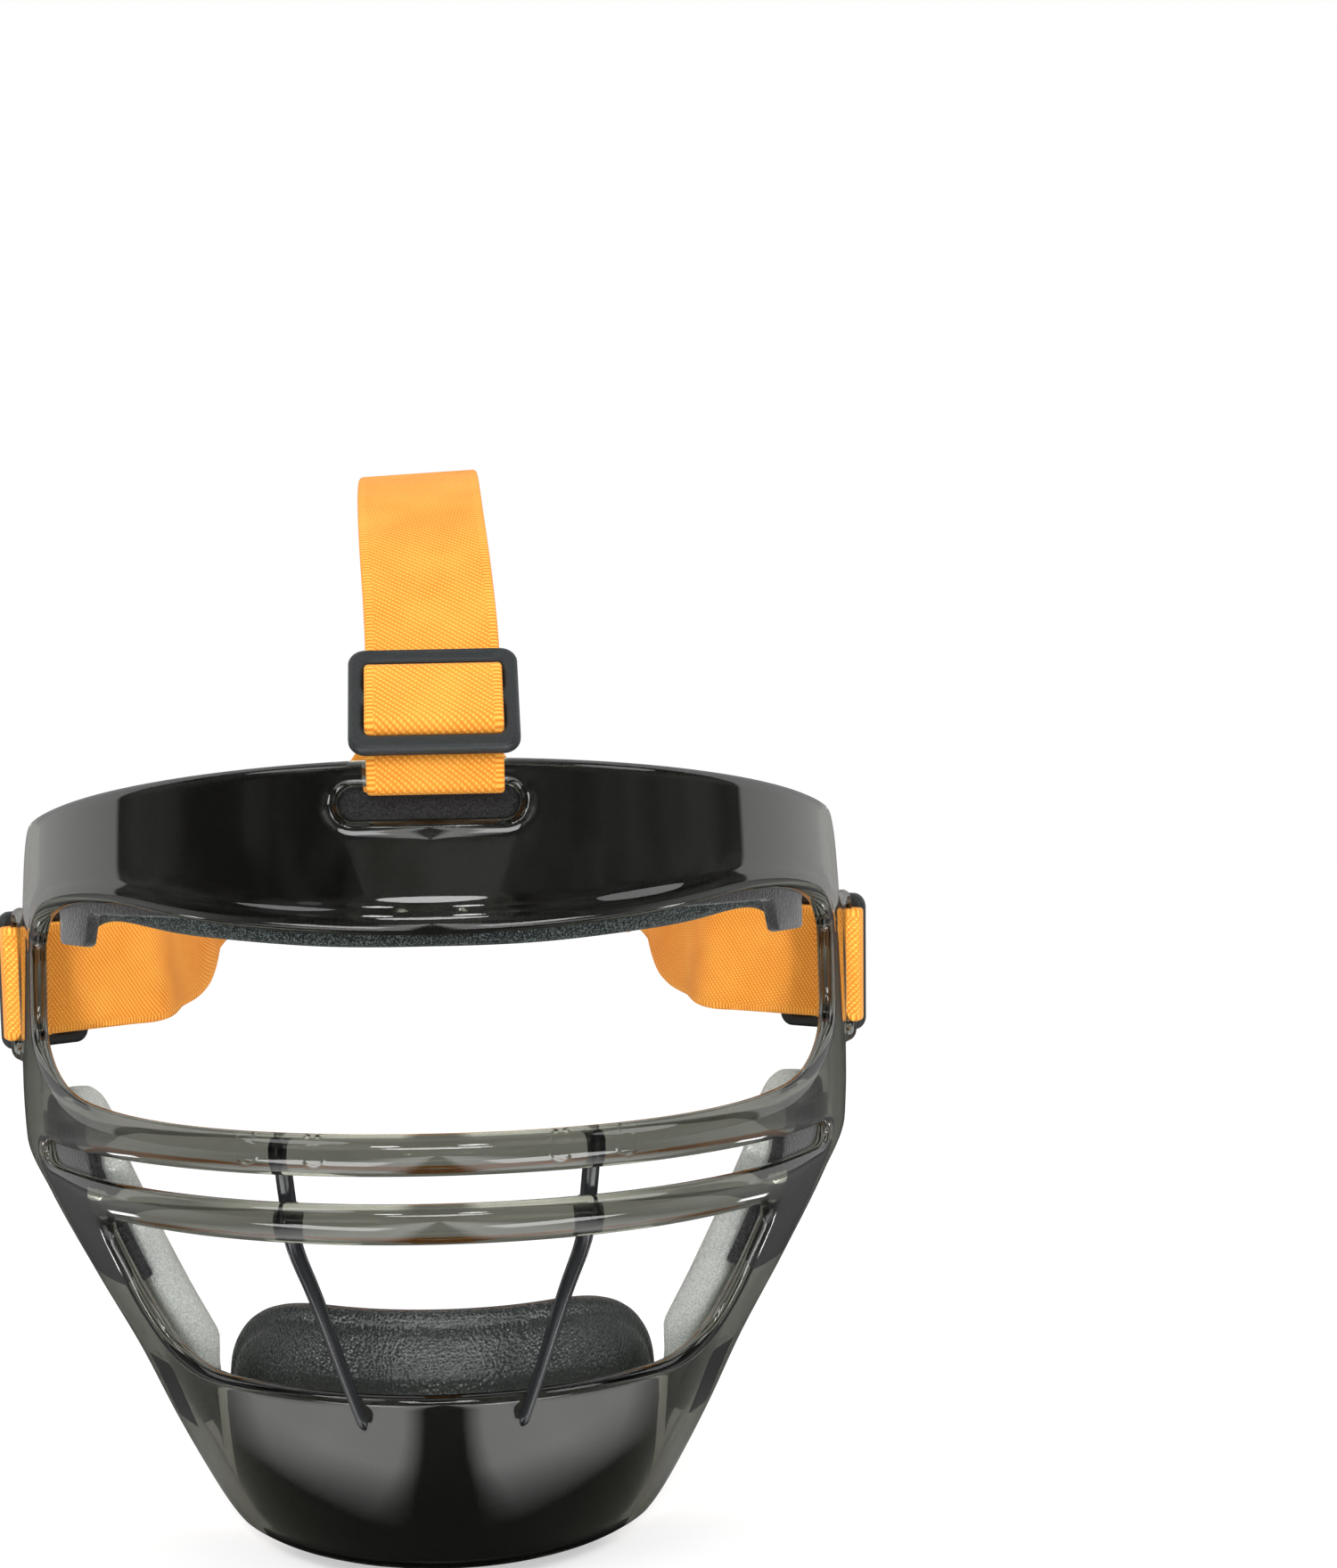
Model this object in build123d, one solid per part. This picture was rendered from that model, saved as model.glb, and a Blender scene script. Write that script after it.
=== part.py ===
"""Clear moulded face guard for ball games: shell, guard rods, pads, hook strips, buckles and elastic harness.

Datum while modelling: X to the wearer's left as seen from the front, Y backwards from the front of the eye bar,
Z up from the underside of the eye bar. The finished pieces are moved so that the origin lies midway between the
two strap ears, which is about the middle of the wearer's head. Millimetres throughout.
"""

import os
from math import asin, atan2, cos, degrees, radians, sin, sqrt

from build123d import *

OVERRUN = 60.0  # how far every cutting tool runs past what it cuts
LIMBER_SHARE = 0.45  # how much of a strap's shorter run each gentle bend takes up

# Shell surface: horizontal sections are ellipses, widest behind the temples
HALF_WIDTH = 92.0
SECTION_DEPTH = 108.0
BROW_RISE = 75.8  # top of the brow above the eye bar's underside
CHIN_DROP = 79.0  # bottom of the chin band below it
BROW_SETBACK = 8.5
CHIN_SETBACK = 17.0
SHELL_WALL = 3.5
STATION_COUNT = 19
# Each row: height over the rise or the drop, half width, section depth, setback over its own setback size
UPPER_STATION_SHARES = ((1.12, 0.965, 0.965, 1.05), (0.80, 0.990, 0.990, 0.96), (0.55, 1.0, 1.0, 0.70),
                        (0.15, 1.0, 1.0, 0.15))
LOWER_STATION_SHARES = ((0.03, 0.995, 1.0, 0.03), (0.16, 0.945, 0.965, 0.10), (0.37, 0.845, 0.910, 0.25),
                        (0.56, 0.750, 0.855, 0.46), (0.75, 0.655, 0.755, 0.62), (0.93, 0.560, 0.650, 0.88),
                        (1.12, 0.460, 0.560, 1.30))

# Side profile of the shell
BROW_END_RISE = 64.0  # height of the brow's top edge at its rear corner
REAR_DEPTH = 84.0  # rear edge of the temple uprights
KINK_DROP = 3.0  # where the rear edge turns forwards, below the eye bar's underside
JAW_DEPTH = 56.0  # rear end of the chin band's bottom edge
BROW_CORNER_RADIUS = 11.0
KINK_RADIUS = 9.0
JAW_CORNER_RADIUS = 12.0

# Bars
EYE_BAR_HEIGHT = 7.8
MID_BAR_HEIGHT = 7.7
BAR_GAP = 5.1
BAR_DEPTH = 5.2
BAR_EDGE_RADIUS = 2.3
BAR_REACH_SHARE = 0.848  # half the span of the thick part of each bar, over the half width
BAR_REACH = BAR_REACH_SHARE * HALF_WIDTH
BAR_ARC_SHARES = (0.0, 0.45, 0.80, 1.0)  # where each bar's arcs meet, over its reach
GAP_REACH_SHARE = 0.875
GAP_REACH = GAP_REACH_SHARE * HALF_WIDTH
GAP_END_RADIUS = 2.4
WEB_REACH_SHARE = 0.761  # half the span in which the bars stand free of the wall, over the half width
WEB_REACH = WEB_REACH_SHARE * HALF_WIDTH
WEB_MARGIN = 1.4  # how far the wall stops short of each bar's edges beyond that

# Eye opening, half outline
EYE_WIDTH_SHARE = 0.8913
EYE_HALF_WIDTH = EYE_WIDTH_SHARE * HALF_WIDTH
EYE_TOP_RISE = 43.5
EYE_ARCH_SHARES = ((0.0, 1.0), (0.38, 1.03), (0.60, 1.082), (0.735, 1.124), (0.80, 1.127), (0.90, 1.098),
                   (0.968, 1.03), (1.0, 0.90))  # x over the half width, height over the rise
EYE_FLOOR_SHARES = ((1.0, 0.60), (0.99, 0.46), (0.955, 0.345), (0.90, 0.265), (0.82, 0.222), (0.70, 0.200),
                    (0.38, 0.182), (0.0, 0.180))

# Mouth opening, half outline
MOUTH_WIDTH_SHARE = 0.7065
MOUTH_HALF_WIDTH = MOUTH_WIDTH_SHARE * HALF_WIDTH
CHIN_RIM_DROP = 42.6
MOUTH_SIDE_SHARES = ((1.0, 0.40), (0.965, 0.52), (0.917, 0.68), (0.87, 0.80), (0.828, 0.887), (0.766, 0.958),
                     (0.706, 0.99), (0.646, 1.0))  # x over the half width, drop over the rim drop

# Slot in the brow
SLOT_WIDTH = 33.0
SLOT_HEIGHT = 6.0
SLOT_LIP = 5.2  # wall left above the slot

# Strap ears
EAR_HEIGHT = 33.5
EAR_RISE = 29.5  # middle of the ear above the eye bar's underside
EAR_REACH = 15.0
EAR_THICKNESS = 3.2
EAR_FLARE = 22.0  # degrees outwards
EAR_ROOT = 5.0  # how far the ear runs into the upright
EAR_SLOT_HEIGHT = 27.6
EAR_SLOT_WIDTH = 5.6
EAR_BAR = 3.4
EAR_CORNER_RADIUS = 4.0
EAR_SLOT_CORNER = 1.3
EAR_SLOT_RUN = EAR_REACH - EAR_BAR - EAR_SLOT_WIDTH / 2  # middle of the slot behind the ear's root

# Guard rods
ROD_WIDTH = 3.2
ROD_TOP_X = 28.9
ROD_KNEE_X = 27.4
ROD_FOOT_X = 14.6
ROD_TOP_RISE = 5.0
ROD_KNEE_DROP = 12.4
ROD_FOOT_DROP = 48.8
ROD_DEPTH = 5.0
ROD_TIP_DEPTH = 3.0
ROD_FRONT_TOP = 9.6
ROD_FRONT_KNEE = 11.2
ROD_FRONT_FOOT = 7.4
ROD_WELD_RADIUS = 2.9
ROD_WELD_HEIGHT = 6.5

# Layers inside the brow, from the shell inwards
FIT_GAP = 0.1
STRIP_THICKNESS = 2.6
STRIP_WIDTH_SHARE = 0.9022
STRIP_HALF_WIDTH = STRIP_WIDTH_SHARE * HALF_WIDTH
STRIP_LOW_RISE = 46.6
STRIP_TOP_MARGIN = 4.0
STRIP_REAR_MARGIN = 2.5
LAYER_CORNER_RADIUS = 4.0
PAD_BASE_THICKNESS = 4.0
PAD_BASE_WIDTH_SHARE = 0.8043
PAD_BASE_HALF_WIDTH = PAD_BASE_WIDTH_SHARE * HALF_WIDTH
PAD_BASE_LOW_RISE = 40.6
PAD_BASE_TOP_MARGIN = 9.5
PAD_BLOCK_THICKNESS = 9.0
PAD_BLOCK_ROUND = 1.8
PAD_BLOCK_LOW_RISE = 41.4
# Each block: inner edge and outer edge over the base's half width, top over its margin line
PAD_BLOCK_SHARES = ((0.034, 0.540, 0.97), (0.590, 0.770, 0.93), (0.815, 0.965, 0.88))
PAD_BLOCK_TOP_RISE = 62.0

# Cheek pads
CHEEK_PATCH_THICKNESS = 2.8
CHEEK_PATCH_LENGTH = 14.0
CHEEK_PATCH_WIDTH = 12.0
CHEEK_PAD_THICKNESS = 7.6
CHEEK_PAD_TOP_RISE = 9.5
CHEEK_PAD_DROP = 60.0
CHEEK_PAD_FRONT = 50.0
CHEEK_PAD_REAR_TOP = 76.5
CHEEK_PAD_REAR_LOW = 60.5
CHEEK_PAD_ROUND = 1.2
CHEEK_TOP_RADIUS = 9.0
CHEEK_LOW_RADIUS = 7.0
CHEEK_PATCH_DROPS = (20.0, 50.0)

# Chin pad, its own nested cup
CHIN_PAD_THICKNESS = 9.0
CHIN_PAD_WIDTH_SHARE = 0.5109
CHIN_PAD_HALF_WIDTH = CHIN_PAD_WIDTH_SHARE * HALF_WIDTH
CHIN_PAD_DEPTH_SHARE = 0.463
CHIN_PAD_DEPTH = CHIN_PAD_DEPTH_SHARE * SECTION_DEPTH
CHIN_PAD_TOP_DROP = 28.5
CHIN_PAD_HEIGHT = 59.0
CHIN_PAD_FRONT = 14.6
CHIN_PAD_REAR = 49.5
CHIN_PAD_CORNER_RADIUS = 27.0
# Each row: height down the pad, half width, depth, setback over the pad's front
CHIN_PAD_STATION_SHARES = ((-0.05, 0.93, 0.92, 1.16), (0.28, 1.0, 1.0, 1.0), (0.58, 0.995, 1.0, 1.13),
                           (0.80, 0.915, 0.90, 1.50), (0.95, 0.760, 0.72, 2.05), (1.02, 0.640, 0.58, 2.50))
CHIN_GROOVE_WIDTH = 1.8
CHIN_GROOVE_DEPTH = 1.6
CHIN_GROOVE_SPACING = 15.0
CHIN_GROOVE_TOP_SHARE = 0.20
CHIN_GROOVE_LOW_SHARE = 0.74
CHIN_PATCH_WIDTH = 16.0
CHIN_PATCH_HEIGHT = 14.0
CHIN_PATCH_DROP = 60.0
CHIN_PATCH_X = 14.0

# Buckles, three bars each
BUCKLE_WIDTH = 31.0  # across the strap
BUCKLE_LENGTH = 23.5  # along the strap
BUCKLE_THICKNESS = 2.4
BUCKLE_END_BAR = 3.4
BUCKLE_SIDE_BAR = 2.6
BUCKLE_CENTRE_BAR = 2.4
BUCKLE_CORNER_RADIUS = 4.0
BUCKLE_WINDOW_RADIUS = 1.4
BUCKLE_EDGE_CHAMFER = 0.6

# Webbing
STRAP_WIDTH = 25.0
STRAP_THICKNESS = 1.4
STRAP_GAP = 0.3
LAYER_PITCH = 2.3  # between straps that are sewn on each other
LAP_LENGTH = 6.0  # the turned-back end behind each bar
LAP_RADIUS = 2.2
TURN_RADIUS = 0.9
TOP_LEAN = 38.0  # degrees backwards from upright
TOP_BUCKLE_RUN = 9.5
SIDE_TURN = 42.0  # degrees inwards from straight back
SIDE_BUCKLE_RUN = 12.5
SLIDE_RANGE = 12.0  # how far each buckle slides from rest towards the head

# Harness round the head, as depth and rise
CROWN_ROUTE = ((42.0, 116.5), (71.0, 131.5), (106.0, 137.0), (141.0, 129.5), (169.0, 112.5), (194.0, 84.5))
# Place, and where the outer face looks, for each station down a leg
LEG_ROUTE = ((2.5, 175.5, 105.2, 0.0, 0.70, 0.71), (4.5, 185.0, 94.6, 0.0, 0.75, 0.67),
             (8.0, 194.0, 84.2, 0.0, 0.77, 0.64), (14.5, 201.5, 72.5, 0.02, 0.88, 0.47),
             (24.5, 205.6, 59.0, 0.08, 0.98, 0.20), (35.0, 206.3, 46.5, 0.12, 1.0, 0.0),
             (39.0, 206.0, 41.5, 0.12, 1.0, 0.0))
LEG_CROSSING_ROWS = 4  # the rows where the two legs lie on each other
SIDE_ROUTE = ((62.5, 143.0, 32.0), (57.5, 163.0, 36.0), (54.5, 184.0, 40.5), (49.0, 197.3, 43.0), (40.0, 201.6, 43.5))
SIDE_FACING_SHARES = (0.38, 0.22, 0.30, 1.10, 6.0)
REAR_STRAP_RISE = 43.5
REAR_ROUTE = ((0.0, 208.0), (28.0, 207.6), (53.0, 204.6))


def table_row(shares, height_size, setback_size):
    """Height, half width, depth and setback of one row of the table."""
    height, width, depth, setback = shares
    return height * height_size, width * HALF_WIDTH, depth * SECTION_DEPTH, setback * setback_size


def table():
    """Every row from the top of the brow to below the chin."""
    upper = [table_row(row, BROW_RISE, BROW_SETBACK) for row in UPPER_STATION_SHARES]
    lower = [table_row(row, -CHIN_DROP, CHIN_SETBACK) for row in LOWER_STATION_SHARES]
    return upper + lower


def slope_at(rows, index, column):
    """Slope of a column at a row: 0 at a turn, and otherwise never steep enough to overshoot."""
    if index in (0, len(rows) - 1):
        index = min(index, len(rows) - 2)
        return (rows[index + 1][column] - rows[index][column]) / (rows[index + 1][0] - rows[index][0])
    steps = [(rows[i + 1][column] - rows[i][column]) / (rows[i + 1][0] - rows[i][0]) for i in (index - 1, index)]
    if steps[0] * steps[1] <= 0:
        return 0
    return 2 * steps[0] * steps[1] / (steps[0] + steps[1])


def section_at(height):
    """Half width, depth and setback at any height, on smooth curves through the table."""
    rows = table()
    index = 0
    while index < len(rows) - 2 and height < rows[index + 1][0]:
        index += 1
    span = rows[index + 1][0] - rows[index][0]
    part = (height - rows[index][0]) / span
    ease = part * part * (3 - 2 * part)
    values = []
    for column in (1, 2, 3):
        start, end = rows[index][column], rows[index + 1][column]
        leave = slope_at(rows, index, column) * span
        arrive = slope_at(rows, index + 1, column) * span
        values.append(start + ease * (end - start) + part * (1 - part) * ((1 - part) * leave - part * arrive))
    return values


def stations():
    """Evenly spaced sections for the loft, from above the brow to below the chin."""
    top, low = table()[0][0], table()[-1][0]
    heights = [top + (low - top) * index / (STATION_COUNT - 1) for index in range(STATION_COUNT)]
    return [(height, *section_at(height)) for height in heights]


def nested_loft(rows, inset):
    """Loft through ellipses set in by the same amount all round."""
    rings = [
        Plane(origin=(0, setback + depth, height)) * Ellipse(width - inset, depth - inset)
        for height, width, depth, setback in rows
    ]
    return loft(rings)


def surface(inset):
    """The solid inside the shell's outer surface, set in by an amount."""
    return nested_loft(stations(), inset)


def front_depth(x, height, inset=0.0):
    """Depth of the set-in surface at a place seen from the front."""
    width, depth, setback = section_at(height)
    return setback + depth - (depth - inset) * sqrt(1 - (x / (width - inset)) ** 2)


def through_front(sketch, depth):
    """Prism along Y of a sketch drawn in X and Z, from ahead of the guard to a depth."""
    return extrude(Plane(origin=(0, -OVERRUN, 0), x_dir=(1, 0, 0), z_dir=(0, 1, 0)) * mirror(sketch, Plane.XZ),
                   OVERRUN + depth)


def across(sketch, low, high):
    """Prism along X of a sketch drawn in Y and Z."""
    return extrude(Plane(origin=(low, 0, 0), x_dir=(0, 1, 0), z_dir=(1, 0, 0)) * sketch, high - low)


def mirrored(points):
    """A half outline from the middle outwards, with its left half added."""
    return [(-x, z) for x, z in reversed(points)] + list(points)


def scaled(shares, width, height):
    return [(x * width, z * height) for x, z in shares]


def corner_arc(before, here, after, radius):
    """Start, middle and end of the arc that rounds a corner; no radius gives the widest that its runs allow."""
    back = before - here
    ahead = after - here
    half = radians(back.get_angle(ahead) / 2)
    run = radius * cos(half) / sin(half) if radius else LIMBER_SHARE * min(back.length, ahead.length)
    radius = run * sin(half) / cos(half)
    back, ahead = back.normalized(), ahead.normalized()
    middle = here + (back + ahead).normalized() * (radius / sin(half) - radius)
    return here + back * run, middle, here + ahead * run


def rounded_polygon(points, radii):
    """Closed outline whose corners are rounded by their own radius, or left sharp by 0."""
    corners = []
    places = [Vector(*point) for point in points]
    for index, radius in enumerate(radii):
        here = places[index]
        after = places[(index + 1) % len(places)]
        corners.append(corner_arc(places[index - 1], here, after, radius) if radius else (here, here, here))
    edges = []
    for index, corner in enumerate(corners):
        if radii[index]:
            edges.append(ThreePointArc(*corner))
        edges.append(Line(corner[2], corners[(index + 1) % len(corners)][0]))
    return make_face(edges)


def route(points, radii):
    """Open path of straight runs joined by arcs, one radius for each inner point."""
    places = [Vector(*point) for point in points]
    edges = []
    start = places[0]
    for index, radius in enumerate(radii, 1):
        first, middle, last = corner_arc(places[index - 1], places[index], places[index + 1], radius)
        edges.append(Line(start, first))
        edges.append(ThreePointArc(first, middle, last))
        start = last
    edges.append(Line(start, places[-1]))
    return Wire(edges)


def top_edge(depth):
    """Height of the brow's top edge, a plane that falls towards the rear."""
    share = (depth - BROW_SETBACK) / (REAR_DEPTH - BROW_SETBACK)
    return BROW_RISE + share * (BROW_END_RISE - BROW_RISE)


def side_profile(top_margin=0.0, rear_margin=0.0):
    """The guard's outline from the side, in Y and Z."""
    rear = REAR_DEPTH - rear_margin
    points = [
        (-OVERRUN, top_edge(-OVERRUN) - top_margin),
        (rear, top_edge(rear) - top_margin),
        (rear, -KINK_DROP),
        (JAW_DEPTH - rear_margin, -CHIN_DROP),
        (-OVERRUN, -CHIN_DROP),
    ]
    return rounded_polygon(points, (0, BROW_CORNER_RADIUS, KINK_RADIUS, JAW_CORNER_RADIUS, 0))


def eye_opening():
    arch = scaled(EYE_ARCH_SHARES, EYE_HALF_WIDTH, EYE_TOP_RISE)
    floor = scaled(EYE_FLOOR_SHARES, EYE_HALF_WIDTH, EYE_TOP_RISE)
    floor = [(x, z - WEB_MARGIN) for x, z in floor]
    top = Spline(mirrored(arch)[: len(arch)][:-1] + arch)
    low = Spline(floor[:-1] + [(-x, z) for x, z in reversed(floor)])
    return make_face([top, Line(top @ 1, low @ 0), low, Line(low @ 1, top @ 0)])


def bar_gap():
    low, high = -BAR_GAP - WEB_MARGIN, WEB_MARGIN
    return Pos(0, (low + high) / 2) * RectangleRounded(2 * GAP_REACH, high - low, GAP_END_RADIUS)


def mouth_opening():
    """Below the mid bar, down the struts' inner edges and along the chin band's rim."""
    mid_low = -BAR_GAP - MID_BAR_HEIGHT
    side = [(x, -z) for x, z in scaled(MOUTH_SIDE_SHARES, MOUTH_HALF_WIDTH, CHIN_RIM_DROP)]
    right = Spline(side)
    left = Spline([(-x, z) for x, z in side])
    roof = mid_low + WEB_MARGIN
    corner = (side[0][0], roof)
    return make_face([
        Line((-corner[0], roof), corner),
        Line(corner, side[0]),
        right,
        Line(side[-1], (-side[-1][0], side[-1][1])),
        left,
        Line((-side[0][0], side[0][1]), (-corner[0], roof)),
    ])


def bar_space():
    """The wall gives way to the two bars between the temples."""
    low = -BAR_GAP - MID_BAR_HEIGHT
    return Pos(0, (low + EYE_BAR_HEIGHT) / 2) * Rectangle(2 * WEB_REACH, EYE_BAR_HEIGHT - low)


def brow_slot():
    middle = BROW_RISE - SLOT_LIP - SLOT_HEIGHT / 2
    return Pos(0, middle) * SlotOverall(SLOT_WIDTH, SLOT_HEIGHT)


def bar(low, height):
    """A rounded bar along tangent arcs that follow the shell's section at its own height."""
    middle = low + height / 2
    width, depth, setback = section_at(middle)
    inset = SHELL_WALL / 2
    places = []
    for share in BAR_ARC_SHARES:
        x = share * BAR_REACH
        places.append(Vector(x, setback + depth - (depth - inset) * sqrt(1 - (x / (width - inset)) ** 2), middle))
    arc = ThreePointArc(Vector(-places[1].X, places[1].Y, middle), places[0], places[1])
    arcs = [arc]
    for start, end in zip(places[1:], places[2:]):
        arc = TangentArc(start, end, tangent=arc % 1)
        other = ThreePointArc(*[Vector(-p.X, p.Y, p.Z) for p in (arc @ 1, arc @ 0.5, arc @ 0)])
        arcs = [other, *arcs, arc]
    path = Wire([arc.edge() for arc in arcs])
    start = Plane(origin=path @ 0, x_dir=(0, 0, 1), z_dir=path % 0)
    return sweep(start * RectangleRounded(height, BAR_DEPTH, BAR_EDGE_RADIUS), path)


def ear_axes():
    """Directions of the right ear seen from above: away from its root, and outwards."""
    flare = radians(EAR_FLARE)
    return Vector(sin(flare), cos(flare)), Vector(cos(flare), -sin(flare))


def ear_point(run):
    """A place on the right ear's mid-plane, so far behind its root."""
    width, depth, setback = section_at(EAR_RISE)
    inset = SHELL_WALL / 2
    share = (setback + depth - REAR_DEPTH) / (depth - inset)
    root = Vector((width - inset) * sqrt(1 - share ** 2), REAR_DEPTH)
    return root + ear_axes()[0] * run


def ear():
    """Right strap ear: a flared plate with a slot, behind the temple upright."""
    away, outwards = ear_axes()
    root = ear_point(0)
    frame = Plane(origin=(root.X, root.Y, EAR_RISE), x_dir=(away.X, away.Y, 0), z_dir=(outwards.X, outwards.Y, 0))
    plate = Pos((EAR_REACH - EAR_ROOT) / 2, 0) * RectangleRounded(EAR_REACH + EAR_ROOT, EAR_HEIGHT, EAR_CORNER_RADIUS)
    slot = Pos(EAR_SLOT_RUN, 0) * RectangleRounded(EAR_SLOT_WIDTH, EAR_SLOT_HEIGHT, EAR_SLOT_CORNER)
    return extrude(frame * (plate - slot), EAR_THICKNESS / 2, both=True)


def make_shell():
    """Curved wall cut to its side profile, opened from the front, with rounded bars and ears added."""
    wall = surface(0) & across(side_profile(), -HALF_WIDTH - OVERRUN, HALF_WIDTH + OVERRUN)
    wall -= surface(SHELL_WALL)
    for outline in (eye_opening(), bar_gap(), mouth_opening(), bar_space(), brow_slot()):
        wall -= through_front(outline, REAR_DEPTH)
    wall += bar(0, EYE_BAR_HEIGHT)
    wall += bar(-BAR_GAP - MID_BAR_HEIGHT, MID_BAR_HEIGHT)
    wall += ear()
    wall += mirror(ear(), Plane.YZ)
    return wall


def make_rod(shell):
    """Right guard rod: behind both bars, then forwards to the outside of the chin band."""
    half = ROD_WIDTH / 2
    face = make_face(Polyline(
        (ROD_TOP_X - half, ROD_TOP_RISE), (ROD_TOP_X + half, ROD_TOP_RISE), (ROD_KNEE_X + half, -ROD_KNEE_DROP),
        (ROD_FOOT_X + half / 2, -ROD_FOOT_DROP), (ROD_FOOT_X - half / 2, -ROD_FOOT_DROP),
        (ROD_KNEE_X - half, -ROD_KNEE_DROP), close=True))
    side = make_face(Polyline(
        (ROD_FRONT_TOP, ROD_TOP_RISE), (ROD_FRONT_TOP + ROD_DEPTH, ROD_TOP_RISE),
        (ROD_FRONT_KNEE + ROD_DEPTH, -ROD_KNEE_DROP), (ROD_FRONT_FOOT + ROD_TIP_DEPTH, -ROD_FOOT_DROP),
        (ROD_FRONT_FOOT, -ROD_FOOT_DROP), (ROD_FRONT_KNEE, -ROD_KNEE_DROP), close=True))
    rod = through_front(face, OVERRUN) & across(side, 0, HALF_WIDTH)
    weld = Pos(ROD_KNEE_X, ROD_FRONT_KNEE + ROD_DEPTH / 2, -BAR_GAP - MID_BAR_HEIGHT / 2) * Cylinder(
        ROD_WELD_RADIUS, ROD_WELD_HEIGHT)
    return (rod + weld) - shell


def brow_layer(inset, thickness, half_width, low, top_margin, rear_margin):
    """A curved sheet inside the brow that follows the shell's own top edge."""
    height = BROW_RISE - low
    outline = Pos(0, low + height) * RectangleRounded(2 * half_width, 2 * height, LAYER_CORNER_RADIUS)
    region = through_front(outline, REAR_DEPTH)
    region &= across(side_profile(top_margin, rear_margin), -HALF_WIDTH, HALF_WIDTH)
    return (region & surface(inset)) - surface(inset + thickness)


def make_brow_strip():
    """Hook strip on the brow's inner face, open behind the slot where the strap turns round the lip."""
    strip = brow_layer(SHELL_WALL + FIT_GAP, STRIP_THICKNESS, STRIP_HALF_WIDTH, STRIP_LOW_RISE, STRIP_TOP_MARGIN,
                       STRIP_REAR_MARGIN)
    low = BROW_RISE - SLOT_LIP - STRAP_THICKNESS - 2 * STRAP_GAP
    notch = Pos(0, low + SLOT_HEIGHT) * Rectangle(STRAP_WIDTH + 2 * STRAP_GAP, 2 * SLOT_HEIGHT)
    return strip - through_front(notch, REAR_DEPTH)


def make_forehead_pad():
    """Thin base with raised blocks on its inner face."""
    inset = SHELL_WALL + STRIP_THICKNESS + 2 * FIT_GAP
    pad = brow_layer(inset, PAD_BASE_THICKNESS, PAD_BASE_HALF_WIDTH, PAD_BASE_LOW_RISE, PAD_BASE_TOP_MARGIN,
                     STRIP_REAR_MARGIN)
    deep = surface(inset + PAD_BASE_THICKNESS / 2)
    hollow = surface(inset + PAD_BASE_THICKNESS + PAD_BLOCK_THICKNESS)
    for inner, outer, top in PAD_BLOCK_SHARES:
        left, right = inner * PAD_BASE_HALF_WIDTH, outer * PAD_BASE_HALF_WIDTH
        height = top * PAD_BLOCK_TOP_RISE - PAD_BLOCK_LOW_RISE
        outline = Pos((left + right) / 2, PAD_BLOCK_LOW_RISE + height / 2) * RectangleRounded(
            right - left, height, PAD_BLOCK_ROUND)
        block = (through_front(outline, REAR_DEPTH) & deep) - hollow
        pad += block
        pad += mirror(block, Plane.YZ)
    return pad


def cheek_outline():
    return rounded_polygon(
        [(CHEEK_PAD_FRONT, CHEEK_PAD_TOP_RISE), (CHEEK_PAD_REAR_TOP, CHEEK_PAD_TOP_RISE),
         (CHEEK_PAD_REAR_LOW, -CHEEK_PAD_DROP), (CHEEK_PAD_FRONT, -CHEEK_PAD_DROP)],
        (2 * CHEEK_TOP_RADIUS, CHEEK_TOP_RADIUS / 2, CHEEK_LOW_RADIUS / 2, CHEEK_LOW_RADIUS))


def make_cheek_pad():
    """Right cheek pad: a slab that follows the strut, pressed in where it meets the chin pad."""
    inset = SHELL_WALL + CHEEK_PATCH_THICKNESS + 2 * FIT_GAP
    slab = across(cheek_outline(), 0, HALF_WIDTH) & surface(inset)
    slab -= surface(inset + CHEEK_PAD_THICKNESS)
    return slab - nested_loft(chin_pad_stations(), -STRAP_GAP)


def make_cheek_patch(drop):
    """One hook patch between the right strut and its cheek pad."""
    inset = SHELL_WALL + FIT_GAP
    share = drop / CHEEK_PAD_DROP
    rear = CHEEK_PAD_REAR_TOP + share * (CHEEK_PAD_REAR_LOW - CHEEK_PAD_REAR_TOP)
    outline = Pos(rear - CHEEK_PATCH_WIDTH / 2 - CHEEK_PATCH_THICKNESS, -drop) * Rectangle(
        CHEEK_PATCH_WIDTH, CHEEK_PATCH_LENGTH)
    return (across(outline, 0, HALF_WIDTH) & surface(inset)) - surface(inset + CHEEK_PATCH_THICKNESS)


def chin_pad_stations():
    rows = []
    for height, width, depth, setback in CHIN_PAD_STATION_SHARES:
        rows.append((-CHIN_PAD_TOP_DROP - height * CHIN_PAD_HEIGHT, width * CHIN_PAD_HALF_WIDTH,
                     depth * CHIN_PAD_DEPTH, setback * CHIN_PAD_FRONT))
    return rows


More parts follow.
